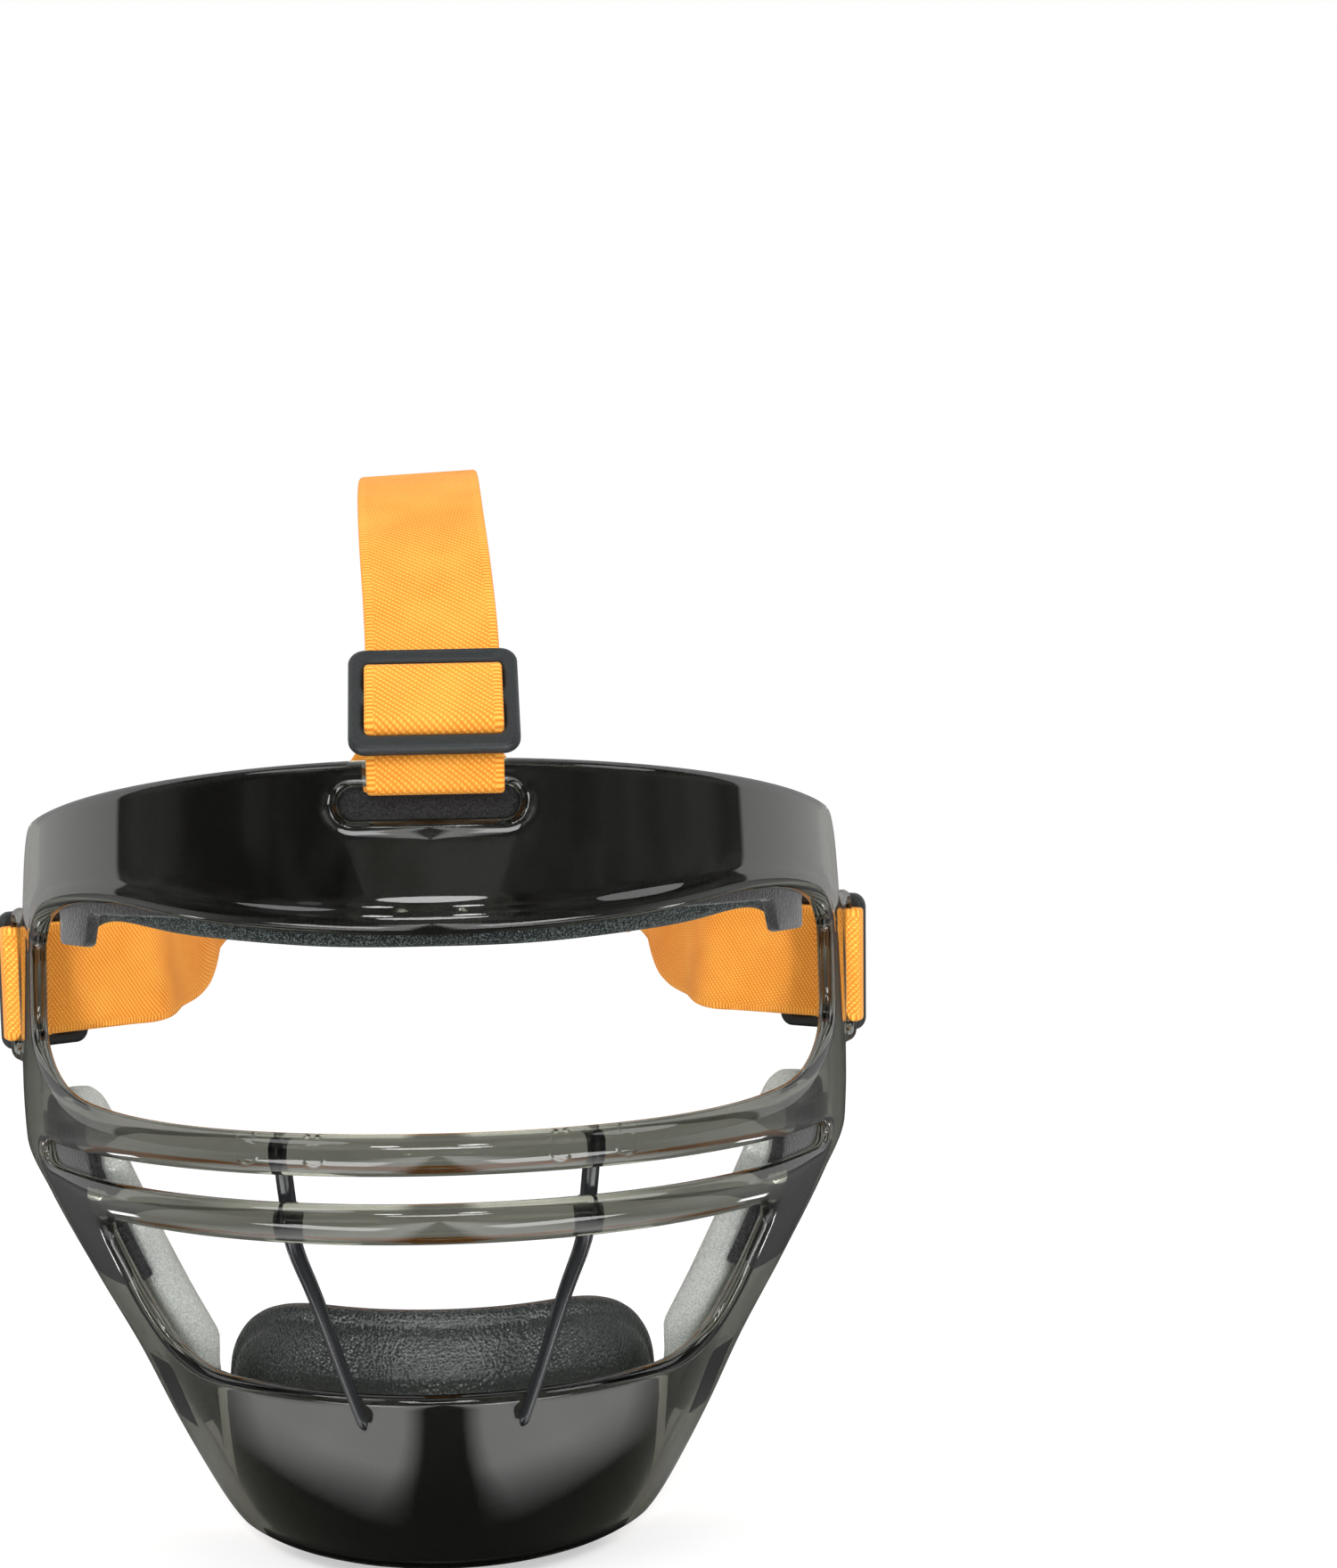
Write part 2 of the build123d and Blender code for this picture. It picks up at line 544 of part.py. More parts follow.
def make_chin_pad():
    """Cup that nests inside the chin band, with three upright grooves on its inner face."""
    rows = chin_pad_stations()
    cup = nested_loft(rows, 0) - nested_loft(rows, CHIN_PAD_THICKNESS)
    middle = -CHIN_PAD_TOP_DROP - CHIN_PAD_HEIGHT / 2
    outline = Pos((CHIN_PAD_REAR - OVERRUN) / 2, middle) * RectangleRounded(
        CHIN_PAD_REAR + OVERRUN, CHIN_PAD_HEIGHT, CHIN_PAD_CORNER_RADIUS)
    cup &= across(outline, -HALF_WIDTH, HALF_WIDTH)
    floor = nested_loft(rows, CHIN_PAD_THICKNESS - CHIN_GROOVE_DEPTH)
    top = -CHIN_PAD_TOP_DROP - CHIN_GROOVE_TOP_SHARE * CHIN_PAD_HEIGHT
    low = -CHIN_PAD_TOP_DROP - CHIN_GROOVE_LOW_SHARE * CHIN_PAD_HEIGHT
    envelope = across(side_profile(-STRAP_GAP, -STRAP_GAP), -HALF_WIDTH, HALF_WIDTH) & surface(-STRAP_GAP)
    cup -= envelope - surface(SHELL_WALL + STRAP_GAP)
    cup = cup.solids().sort_by(SortBy.VOLUME)[-1]
    for side in (-1, 0, 1):
        slot = Pos(side * CHIN_GROOVE_SPACING, (top + low) / 2) * RectangleRounded(
            CHIN_GROOVE_WIDTH, top - low, CHIN_GROOVE_WIDTH / 2 - FIT_GAP)
        cup -= floor & through_front(slot, CHIN_PAD_REAR)
    return cup


def make_chin_patch():
    """Right hook patch, which fills the space between the chin band and the cup."""
    outline = Pos(CHIN_PATCH_X, -CHIN_PATCH_DROP) * Rectangle(CHIN_PATCH_WIDTH, CHIN_PATCH_HEIGHT)
    block = through_front(outline, CHIN_PAD_FRONT + CHIN_PAD_THICKNESS) & surface(SHELL_WALL + FIT_GAP)
    return block - nested_loft(chin_pad_stations(), -FIT_GAP)


def make_buckle():
    """Three-bar buckle lying in its own plane, X across the strap and Y along it."""
    frame = RectangleRounded(BUCKLE_WIDTH, BUCKLE_LENGTH, BUCKLE_CORNER_RADIUS)
    window = (BUCKLE_LENGTH - 2 * BUCKLE_END_BAR - BUCKLE_CENTRE_BAR) / 2
    for side in (-1, 1):
        frame -= Pos(0, side * (BUCKLE_CENTRE_BAR + window) / 2) * RectangleRounded(
            BUCKLE_WIDTH - 2 * BUCKLE_SIDE_BAR, window, BUCKLE_WINDOW_RADIUS)
    body = extrude(frame, BUCKLE_THICKNESS / 2, both=True)
    rims = body.faces().filter_by(Axis.Z).edges()
    return chamfer(rims, BUCKLE_EDGE_CHAMFER)


def make_turned_end():
    """The strap's end turned round the buckle's centre bar, lying in the buckle's plane."""
    reach = BUCKLE_LENGTH / 2 - BUCKLE_END_BAR - STRAP_GAP
    bar_half = BUCKLE_THICKNESS / 2 + FIT_GAP
    thick = STRAP_THICKNESS
    ring = RectangleRounded(2 * reach, 2 * (bar_half + thick), bar_half + thick - FIT_GAP)
    hole = RectangleRounded(2 * (reach - thick), 2 * bar_half, bar_half - FIT_GAP)
    width = STRAP_WIDTH - 2 * STRAP_GAP
    plane = Plane(origin=(-width / 2, 0, 0), x_dir=(0, 1, 0), z_dir=(1, 0, 0))
    return extrude(plane * (ring - hole), width)


def strap_offset():
    """How far the strap's mid-plane lies behind the buckle's mid-plane."""
    return BUCKLE_THICKNESS / 2 + FIT_GAP + STRAP_THICKNESS + STRAP_GAP + STRAP_THICKNESS / 2


def meeting(start, direction, other, heading):
    """Where two lines in a plane meet."""
    between = other - start
    run = (between.X * heading.Y - between.Y * heading.X) / (direction.X * heading.Y - direction.Y * heading.X)
    return start + direction * run


def loop_route(centre, along, front, half_along, half_front, heading):
    """Centreline of a strap turned round a bar of oblong section.

    It starts with the lap behind, comes through the slot, crosses the bar's front and leaves along the heading.
    Returns those points and the place beside the bar that the buckle's run is measured from.
    """
    layer = STRAP_THICKNESS / 2 + STRAP_GAP
    facing = Vector(-heading.Y, heading.X)
    if facing.dot(front) < 0:
        facing = facing * -1
    support = half_along * abs(along.dot(facing)) + half_front * abs(front.dot(facing)) + layer
    origin = centre + facing * support
    through = centre - along * (half_along + layer)
    before = through + front * (half_front + layer)
    behind = through - front * (half_front + layer)
    leaves = meeting(before, along, origin, heading)
    joins = meeting(behind, along, origin - facing * (STRAP_THICKNESS + STRAP_GAP), heading)
    return [joins + heading * LAP_LENGTH, joins, behind, before, leaves], origin, facing


def top_loop():
    """The top strap round the lip above the brow slot, in Y and Z."""
    lean = radians(TOP_LEAN)
    rise = BROW_RISE - SLOT_LIP / 2
    front = front_depth(0, rise)
    rear = front_depth(STRAP_WIDTH / 2, rise, SHELL_WALL)
    return loop_route(Vector((front + rear) / 2, rise), Vector(0, 1), Vector(-1, 0), SLOT_LIP / 2,
                      (rear - front) / 2, Vector(sin(lean), cos(lean)))


def side_heading():
    turn = radians(SIDE_TURN)
    return Vector(-sin(turn), cos(turn))


def side_loop():
    """The right side strap round the bar behind the ear's slot, in X and Y."""
    away, outwards = ear_axes()
    return loop_route(ear_point(EAR_REACH - EAR_BAR / 2), away, outwards, EAR_BAR / 2, EAR_THICKNESS / 2,
                      side_heading())


def top_buckle_plane():
    """Z towards the front and up, Y along the strap."""
    points, origin, facing = top_loop()
    heading = Vector(sin(radians(TOP_LEAN)), cos(radians(TOP_LEAN)))
    place = origin + heading * TOP_BUCKLE_RUN + facing * strap_offset()
    return Plane(origin=(0, place.X, place.Y), x_dir=(1, 0, 0), z_dir=(0, facing.X, facing.Y))


def side_buckle_plane():
    """Right side: Z outwards and to the rear, Y along the strap."""
    points, origin, facing = side_loop()
    place = origin + side_heading() * SIDE_BUCKLE_RUN + facing * strap_offset()
    return Plane(origin=(place.X, place.Y, EAR_RISE), x_dir=(0, 0, 1), z_dir=(facing.X, facing.Y, 0))


def swept_strap(path, across_strap):
    """Webbing along a path that lies in the plane square to its width."""
    start = Plane(origin=path @ 0, x_dir=across_strap, z_dir=path % 0)
    return sweep(start * Rectangle(STRAP_WIDTH, STRAP_THICKNESS), path)


def make_top_strap():
    """Turned round the brow's lip, straight behind the buckle, then over the crown."""
    points, origin, facing = top_loop()
    lean = radians(TOP_LEAN)
    straight = TOP_BUCKLE_RUN + BUCKLE_LENGTH / 2 + SLIDE_RANGE
    points.append(origin + Vector(sin(lean), cos(lean)) * straight)
    places = [(0, point.X, point.Y) for point in points]
    places += [(0, depth, rise) for depth, rise in CROWN_ROUTE]
    radii = [LAP_RADIUS, TURN_RADIUS, TURN_RADIUS, LAP_RADIUS] + [None] * len(CROWN_ROUTE)
    return swept_strap(route(places, radii), (1, 0, 0))


def webbing(places, facings, width):
    """Webbing through places in space; each facing is the direction that its outer face looks."""
    spine = Spline([Vector(*place) for place in places])
    rings = []
    for place, facing in zip(places, facings):
        tangent = spine.tangent_at(spine.param_at_point(Vector(*place)))
        across_strap = Vector(*facing).cross(tangent).normalized()
        rings.append(Plane(origin=Vector(*place), x_dir=across_strap, z_dir=tangent) * Rectangle(width, STRAP_THICKNESS))
    return loft(rings)


def make_side_strap():
    """Right side strap: turned round the ear's bar, straight behind the buckle, then to the rear corner."""
    points, origin, facing = side_loop()
    heading = side_heading()
    straight = origin + heading * (SIDE_BUCKLE_RUN + BUCKLE_LENGTH / 2 + SLIDE_RANGE)
    places = [(point.X, point.Y, EAR_RISE) for point in points + [straight]]
    loop = swept_strap(route(places, [LAP_RADIUS, TURN_RADIUS, TURN_RADIUS, LAP_RADIUS]), (0, 0, 1))
    near = straight + heading * (STRAP_WIDTH / 4)
    spine = [(straight.X, straight.Y, EAR_RISE), (near.X, near.Y, EAR_RISE)] + list(SIDE_ROUTE)
    facings = [(facing.X, facing.Y, 0)] * 2 + [(1, share, 0) for share in SIDE_FACING_SHARES]
    return loop + webbing(spine, facings, STRAP_WIDTH)


def make_crown_strap(side, layers):
    """One leg from the junction to a rear corner, so many strap layers under the top strap's end."""
    depth = layers * LAYER_PITCH
    places, facings = [], []
    for index, (x, y, z, aside, rear, up) in enumerate(LEG_ROUTE):
        sink = depth if index < LEG_CROSSING_ROWS else LAYER_PITCH
        normal = Vector(side * aside, rear, up).normalized()
        place = Vector(side * x, y, z) - normal * sink
        places.append(tuple(place))
        facings.append(tuple(normal))
    return webbing(places, facings, STRAP_WIDTH)


def make_rear_strap():
    """Across the back of the head between the two corners."""
    points = [(-x, y, REAR_STRAP_RISE) for x, y in reversed(REAR_ROUTE)]
    points += [(x, y, REAR_STRAP_RISE) for x, y in REAR_ROUTE[1:]]
    return swept_strap(route(points, [None] * (len(points) - 2)), (0, 0, 1))


def main():
    os.makedirs("parts", exist_ok=True)
    shell = make_shell()
    rod = make_rod(shell)
    cheek_pad = make_cheek_pad()
    upper_patch, lower_patch = [make_cheek_patch(drop) for drop in CHEEK_PATCH_DROPS]
    chin_patch = make_chin_patch()
    buckle = make_buckle()
    turned_end = make_turned_end()
    side_strap = make_side_strap()
    pieces = {
        "shell": shell,
        "brow_hook_strip": make_brow_strip(),
        "forehead_pad": make_forehead_pad(),
        "chin_pad": make_chin_pad(),
        "top_strap": make_top_strap(),
        "crown_strap_right": make_crown_strap(1, 2),
        "crown_strap_left": make_crown_strap(-1, 1),
        "rear_strap": make_rear_strap(),
        "buckle_top": top_buckle_plane() * buckle,
        "strap_end_top": top_buckle_plane() * turned_end,
    }
    right_pieces = {
        "guard_rod": rod,
        "cheek_pad": cheek_pad,
        "cheek_hook_patch_upper": upper_patch,
        "cheek_hook_patch_lower": lower_patch,
        "chin_hook_patch": chin_patch,
        "side_strap": side_strap,
        "buckle": side_buckle_plane() * buckle,
        "strap_end": side_buckle_plane() * turned_end,
    }
    for name, piece in right_pieces.items():
        pieces[name + "_right"] = piece
        pieces[name + "_left"] = mirror(piece, Plane.YZ)
    slot = ear_point(EAR_SLOT_RUN)
    for name, piece in pieces.items():
        export_step(Pos(0, -slot.Y, -EAR_RISE) * piece, "parts/" + name + ".step")


main()
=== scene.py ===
"""Looks of a clear moulded face guard with an elastic harness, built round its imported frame.

Shapes are worked out in millimetres in the CAD's own datum: x to the wearer's left, y backwards from the front of
the eye bar, z up from its underside. add_piece() moves them into the frame and into metres.
"""

from math import acos, cos, pi, radians, sin, tan

import bpy
import numpy as np
from mathutils import Euler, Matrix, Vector
from mathutils.geometry import delaunay_2d_cdt


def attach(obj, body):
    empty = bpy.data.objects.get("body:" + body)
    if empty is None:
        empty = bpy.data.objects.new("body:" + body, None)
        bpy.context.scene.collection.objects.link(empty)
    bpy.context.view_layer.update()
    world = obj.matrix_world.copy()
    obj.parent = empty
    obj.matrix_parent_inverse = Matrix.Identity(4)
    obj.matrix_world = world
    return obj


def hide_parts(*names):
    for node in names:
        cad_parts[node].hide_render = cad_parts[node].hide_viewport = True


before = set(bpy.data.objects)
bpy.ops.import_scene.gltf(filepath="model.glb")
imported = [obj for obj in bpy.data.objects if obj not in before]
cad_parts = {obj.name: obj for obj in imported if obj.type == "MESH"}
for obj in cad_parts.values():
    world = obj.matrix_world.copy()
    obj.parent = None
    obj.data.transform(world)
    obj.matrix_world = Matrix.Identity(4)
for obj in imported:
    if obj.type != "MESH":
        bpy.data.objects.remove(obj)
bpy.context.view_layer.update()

DATUM = np.array([0.0, 92.159, 29.5])

# Guard surface: height, half width, depth and setback of its elliptical sections
SHELL_ROWS = ((84.9, 88.8, 104.2, 8.92), (60.64, 91.1, 106.9, 8.16), (41.7, 92.0, 108.0, 5.95),
              (11.37, 92.0, 108.0, 1.28), (-2.37, 91.5, 108.0, 0.51), (-12.64, 86.9, 104.2, 1.7),
              (-29.23, 77.7, 98.3, 4.25), (-44.24, 69.0, 92.3, 7.82), (-59.25, 60.3, 81.5, 10.54),
              (-73.47, 51.5, 70.2, 14.96), (-88.48, 42.3, 60.5, 22.1))
CHIN_ROWS = ((-25.55, 43.7, 46.0, 16.94), (-45.02, 47.0, 50.0, 14.6), (-62.72, 46.8, 50.0, 16.5),
             (-75.7, 43.0, 45.0, 21.9), (-84.55, 35.7, 36.0, 29.93), (-88.68, 30.1, 29.0, 36.5))
WALL, BAR_SWELL, EAR_THINNING = 3.5, 1.7, 0.4
TURN_SCALE = 90.0  # how many millimetres of the flat pattern one radian round the guard takes
CUP_SCALE = 45.0  # the same for the chin cup
REAR_DEPTH = 84.0
EAR_STRETCH = 1.17  # how much longer the pattern's millimetre is behind the temples
EAR_FLARE = radians(22.0)
EAR_TOP, EAR_MIDDLE, EAR_LOW, EAR_REACH = 46.25, 29.5, 12.75, 15.0
CHEEK_TOP, CHEEK_FOOT = -12.8, -42.6  # the opening below the bars
# How far under the guard's outer face the middle of each layer lies
MID_WALL = WALL / 2
BROW_HOOK, CHEEK_HOOK, CHIN_HOOK, FOAM_BASE, PAD_FACE = 4.9, 5.0, 4.5, 8.3, 10.3
CUP_INSET, CUP_TOP, CUP_FOOT = 2.6, -28.5, -87.5
STRAP_WIDTH, STRAP_THICKNESS, LAYER_STEP = 25.0, 1.4, 2.3
STITCH_PITCH, STITCH_SHARE, STITCH_RADIUS = 2.4, 0.68, 0.28


# Curves

def ease(part):
    """Smooth step from 0 to 1."""
    return part * part * (3 - 2 * part)


def smooth_table(rows):
    """Heights, values and slopes of a monotone curve; the slope between two steps is their harmonic mean."""
    rows = np.array(rows)
    z, values = rows[:, 0], rows[:, 1:]
    steps = np.diff(values, axis=0) / np.diff(z)[:, None]
    slopes = np.vstack([steps[:1], np.zeros_like(steps[1:]), steps[-1:]])
    agree = steps[:-1] * steps[1:] > 0
    total = np.where(agree, steps[:-1] + steps[1:], 1)
    slopes[1:-1] = np.where(agree, 2 * steps[:-1] * steps[1:] / total, 0)
    return z, values, slopes


def section(table, height):
    """Half width, depth and setback at any heights."""
    z, values, slopes = table
    height = np.asarray(height, float)
    index = np.clip(np.searchsorted(-z, -height, side="right") - 1, 0, len(z) - 2)
    span = (z[index + 1] - z[index])[..., None]
    part = (height[..., None] - z[index][..., None]) / span
    start, end = values[index], values[index + 1]
    turn = part * (1 - part) * ((1 - part) * slopes[index] - part * slopes[index + 1]) * span
    return np.moveaxis(start + ease(part) * (end - start) + turn, -1, 0)


SHELL = smooth_table(SHELL_ROWS)
CHIN = smooth_table(CHIN_ROWS)


def unit(rows):
    return rows / np.linalg.norm(rows, axis=1)[:, None]


def lengths(points):
    """Distance along a line at each of its points."""
    return np.r_[0, np.cumsum(np.linalg.norm(np.diff(points, axis=0), axis=1))]


def spline(points, step):
    """Natural cubic curve through points, by chord length, sampled about every step."""
    p = np.asarray(points, float)
    t = lengths(p)
    h = np.diff(t)
    matrix, right = np.eye(len(p)), np.zeros_like(p)
    for i in range(1, len(p) - 1):
        matrix[i, i - 1:i + 2] = h[i - 1], 2 * (h[i - 1] + h[i]), h[i]
        right[i] = 6 * ((p[i + 1] - p[i]) / h[i] - (p[i] - p[i - 1]) / h[i - 1])
    bend = np.linalg.solve(matrix, right)
    s = np.linspace(0, t[-1], max(int(t[-1] / step), 4) + 1)
    i = np.clip(np.searchsorted(t, s, side="right") - 1, 0, len(p) - 2)
    a, b, w = (t[i + 1] - s)[:, None], (s - t[i])[:, None], h[i][:, None]
    return (bend[i] * a**3 + bend[i + 1] * b**3) / (6 * w) + (p[i] / w - bend[i] * w / 6) * a + (
        p[i + 1] / w - bend[i + 1] * w / 6) * b


def even(points, step, closed=True):
    """The same line with its points evenly spaced."""
    p = np.asarray(points, float)
    if closed:
        p = np.vstack([p, p[:1]])
    along = lengths(p)
    count = max(int(round(along[-1] / step)), 4)
    s = np.linspace(0, along[-1], count + 1)
    if closed:
        s = s[:-1]
    return np.stack([np.interp(s, along, column) for column in p.T], axis=1)


def rounded(corners, radii, closed=True, fine=0.25):
    """Line in the plane or in space whose corners turn on their own radius.

    A radius of None takes 0.45 of the shorter run beside the corner.
    """
    p = np.asarray(corners, float)
    out = []
    for i, radius in enumerate(radii):
        here = p[i]
        if radius == 0 or (not closed and i in (0, len(p) - 1)):
            out.append(here[None])
            continue
        back, ahead = p[i - 1] - here, p[(i + 1) % len(p)] - here
        reach = 0.45 * min(np.linalg.norm(back), np.linalg.norm(ahead))
        back, ahead = back / np.linalg.norm(back), ahead / np.linalg.norm(ahead)
        half = acos(np.clip(back @ ahead, -1, 1)) / 2
        if half > pi / 2 - 1e-3:
            out.append(here[None])
            continue
        radius = reach * tan(half) if radius is None else radius
        middle = back + ahead
        middle = middle / np.linalg.norm(middle)
        centre = here + middle * radius / sin(half)
        aside = (ahead - back) / np.linalg.norm(ahead - back)
        count = max(int((pi - 2 * half) * radius / fine), 3)
        swing = np.linspace(-(pi / 2 - half), pi / 2 - half, count)[:, None]
        out.append(centre + radius * (np.sin(swing) * aside - np.cos(swing) * middle))
    return np.vstack(out)


def rectangle(x0, x1, z0, z1, radius):
    """Outline of a rectangle with rounded corners."""
    return rounded([(x0, z0), (x1, z0), (x1, z1), (x0, z1)], [radius] * 4)


# Surfaces: each turns pattern places (u, z) into points in space

def rear_turn(height, inset):
    """Angle round the guard at which its rear edge lies."""
    _, depth, setback = section(SHELL, height)
    return np.arccos((setback + depth - REAR_DEPTH) / (depth - inset))


def guard_surface(inset):
    """Point at angle t is x = (a - inset) sin t, y = setback + b - (b - inset) cos t.

    Past the rear edge the ears run on straight, and turn to their flare within 4 mm.
    """
    def place(u, z):
        width, depth, setback = section(SHELL, z)
        side, limit = np.sign(u), rear_turn(z, inset)
        t = np.minimum(np.abs(u) / TURN_SCALE, limit)
        past = np.maximum(np.abs(u) - TURN_SCALE * limit, 0) * EAR_STRETCH
        x = (width - inset) * np.sin(t)
        y = setback + depth - (depth - inset) * np.cos(t)
        heading = np.stack([(width - inset) * np.cos(limit), (depth - inset) * np.sin(limit)])
        heading = heading / np.linalg.norm(heading, axis=0)
        turned = ease(np.clip(past / 4, 0, 1))
        x = x + past * (heading[0] * (1 - turned) + sin(EAR_FLARE) * turned)
        y = y + past * (heading[1] * (1 - turned) + cos(EAR_FLARE) * turned)
        return np.stack([side * x, y, z], axis=-1)
    return place


def cup_surface(inset):
    """The chin cup's own ellipses, by the same formula."""
    def place(u, z):
        width, depth, setback = section(CHIN, z)
        t = u / CUP_SCALE
        return np.stack([(width - inset) * np.sin(t), setback + depth - (depth - inset) * np.cos(t), z], axis=-1)
    return place


def flat_surface(origin, x_dir, y_dir):
    """Point is the origin plus u along x_dir plus z along y_dir."""
    return lambda u, z: origin + np.asarray(u)[..., None] * x_dir + np.asarray(z)[..., None] * y_dir


def tangents(surface, u, z):
    """Change of a surface's point for a millimetre of u and of z, by central differences."""
    gap = 0.02
    along = (surface(u + gap, z) - surface(u - gap, z)) / (2 * gap)
    upward = (surface(u, z + gap) - surface(u, z - gap)) / (2 * gap)
    return along, upward


def from_front(points, inset):
    """Pattern places of points drawn as seen from the front: the angle's sine is x over the section's half width."""
    p = np.asarray(points, float)
    width = section(SHELL, p[:, 1])[0]
    return np.c_[TURN_SCALE * np.arcsin(np.clip(p[:, 0] / (width - inset), -1, 1)), p[:, 1]]


def front_loop(points, inset, step, fine=0.3):
    """A closed outline drawn from the front, as pattern places about a step apart."""
    return even(from_front(even(points, fine), inset), step)


def from_side(points, inset, table=SHELL, scale=TURN_SCALE):
    """Pattern places, and whether they are on the surface, of points drawn as seen from the side, y and z."""
    p = np.asarray(points, float)
    _, depth, setback = section(table, p[:, 1])
    share = (setback + depth - p[:, 0]) / (depth - inset)
    return np.c_[scale * np.arccos(np.clip(share, -1, 1)), p[:, 1]], share < 1


# Slabs: closed moulded or padded pieces over a pattern

def inside(points, loops):
    """Even-odd rule against every loop."""
    odd = np.zeros(len(points), bool)
    x, y = points[:, 0][:, None], points[:, 1][:, None]
    for loop in loops:
        start, end = loop, np.roll(loop, -1, axis=0)
        crosses = (start[:, 1] > y) != (end[:, 1] > y)
        rise = np.where(end[:, 1] == start[:, 1], 1, end[:, 1] - start[:, 1])
        at = start[:, 0] + (y - start[:, 1]) / rise * (end[:, 0] - start[:, 0])
        odd ^= (np.sum(crosses & (x < at), axis=1) % 2).astype(bool)
    return odd


def nearest(points, edge):
    """Distance of each point to the closest of the edge points."""
    far = np.empty(len(points))
    for i in range(0, len(points), 2000):
        gap = points[i:i + 2000, None] - edge[None]
        far[i:i + 2000] = np.sqrt((gap**2).sum(-1).min(1))
    return far


def slab(surface, loops, heights, rings, grid, fix=None):
    """One closed solid over a pattern with holes.

    heights(d, u, z) gives how far the outer and inner faces stand off the surface at a distance d from the edge.
    rings(u, z) gives the distances, along the surface, of the rows of points that follow every edge.
    """
    turned = []
    for index, loop in enumerate(loops):
        area = np.sum(loop[:, 0] * np.roll(loop[:, 1], -1) - np.roll(loop[:, 0], -1) * loop[:, 1])
        turned.append(loop if (area > 0) == (index == 0) else loop[::-1])
    edge = np.vstack(turned)
    points, distances = [edge], [np.zeros(len(edge))]
    for loop in turned:
        ahead = np.roll(loop, -1, axis=0) - np.roll(loop, 1, axis=0)
        across = np.c_[-ahead[:, 1], ahead[:, 0]]
        du, dz = tangents(surface, loop[:, 0], loop[:, 1])
        metric = np.stack([np.stack([(du * du).sum(-1), (du * dz).sum(-1)], -1),
                           np.stack([(du * dz).sum(-1), (dz * dz).sum(-1)], -1)], -2)
        inward = np.linalg.solve(metric, across[..., None])[..., 0]
        inward /= np.sqrt((across * inward).sum(-1))[:, None]
        scale = np.linalg.norm(inward, axis=1)
        for distance in np.moveaxis(rings(loop[:, 0], loop[:, 1]), -1, 0)[1:]:
            row = loop + inward * distance[:, None]
            keep = inside(row, turned) & (nearest(row, edge) > 0.86 * distance * scale - 0.02)
            points.append(row[keep])
            distances.append(distance[keep])
    low, high = edge.min(0), edge.max(0)
    net = []
    for i, z in enumerate(np.arange(low[1] + grid / 2, high[1], grid * 0.866)):
        row = np.arange(low[0] + grid * (0.5 + 0.5 * (i % 2)), high[0], grid)
        net.append(np.c_[row, np.full(len(row), z)])
    net = np.vstack(net)
    net = net[inside(net, turned)]
    away = nearest(net, edge)
    last = rings(net[:, 0], net[:, 1])[:, -1]
    keep = away > last + 0.6 * grid
    points.append(net[keep])
    distances.append(away[keep])
    points, distances = np.vstack(points), np.concatenate(distances)

    borders, start = [], 0
    for loop in turned:
        borders += [(start + i, start + (i + 1) % len(loop)) for i in range(len(loop))]
        start += len(loop)
    out = delaunay_2d_cdt([Vector(p) for p in points.tolist()], borders, [], 0, 1e-6)
    flat = np.array([tuple(v) for v in out[0]])
    source = np.array([ids[0] if ids else 0 for ids in out[3]])
    faces = np.array([f for f in out[2] if len(f) == 3])
    rim = source < len(edge)
    doubtful = rim[faces].all(axis=1)
    kept = np.ones(len(faces), bool)
    kept[doubtful] = inside(flat[faces[doubtful]].mean(axis=1), turned)
    faces = faces[kept]
    flat, far = points[source], distances[source]

    u, z = flat[:, 0], flat[:, 1]
    du, dz = tangents(surface, u, z)
    normal = unit(np.cross(du, dz))
    base = surface(u, z)
    outer, inner = heights(far, u, z)
    front = base + normal * outer[:, None]
    back = base + normal * inner[:, None]
    front[rim] = (base + normal * ((outer + inner) / 2)[:, None])[rim]
    if fix is not None:
        front, back = fix(front), fix(back)
    other = np.arange(len(flat)) + len(flat)
    other[rim] = np.flatnonzero(rim)
    verts = np.vstack([front, back])
    faces = np.vstack([faces, other[faces][:, ::-1]])
    used = np.unique(faces)
    renumber = np.zeros(len(verts), int)
    renumber[used] = np.arange(len(used))
    return verts[used], renumber[faces].tolist(), np.vstack([flat, flat])[used]


def joined(parts):
    """Several meshes as one."""
    verts, faces, uvs, start = [], [], [], 0
    for v, f, uv in parts:
        verts.append(v)
        uvs.append(uv)
        faces += [[i + start for i in face] for face in f]
        start += len(v)
    return np.vstack(verts), faces, np.vstack(uvs)


def fixed_rings(*distances):
    return lambda u, z: np.tile(np.array(distances, float), (len(u), 1))


def mirror_part(part):
    """The same mesh with x turned round, and its faces too."""
    verts, faces, uv = part
    return verts * (-1, 1, 1), [face[::-1] for face in faces], uv * (-1, 1)


# Ribbons, tubes and stitches

def frames(path, across, closed=False):
    """Unit directions across and up at each point of a path, square to it and to each other."""
    ahead = np.roll(path, -1, axis=0) - np.roll(path, 1, axis=0) if closed else np.gradient(path, axis=0)
    ahead = unit(ahead)
    across = np.broadcast_to(np.asarray(across, float), path.shape)
    across = unit(across - ahead * (across * ahead).sum(-1)[:, None])
    return across, np.cross(ahead, across)


def walls(rows, count, closed=False):
    """Faces between rings of points that follow each other."""
    faces = []
    for i in range(rows if closed else rows - 1):
        a, b = i * count, (i + 1) % rows * count
        faces += [[a + j, a + (j + 1) % count, b + (j + 1) % count, b + j] for j in range(count)]
    return faces


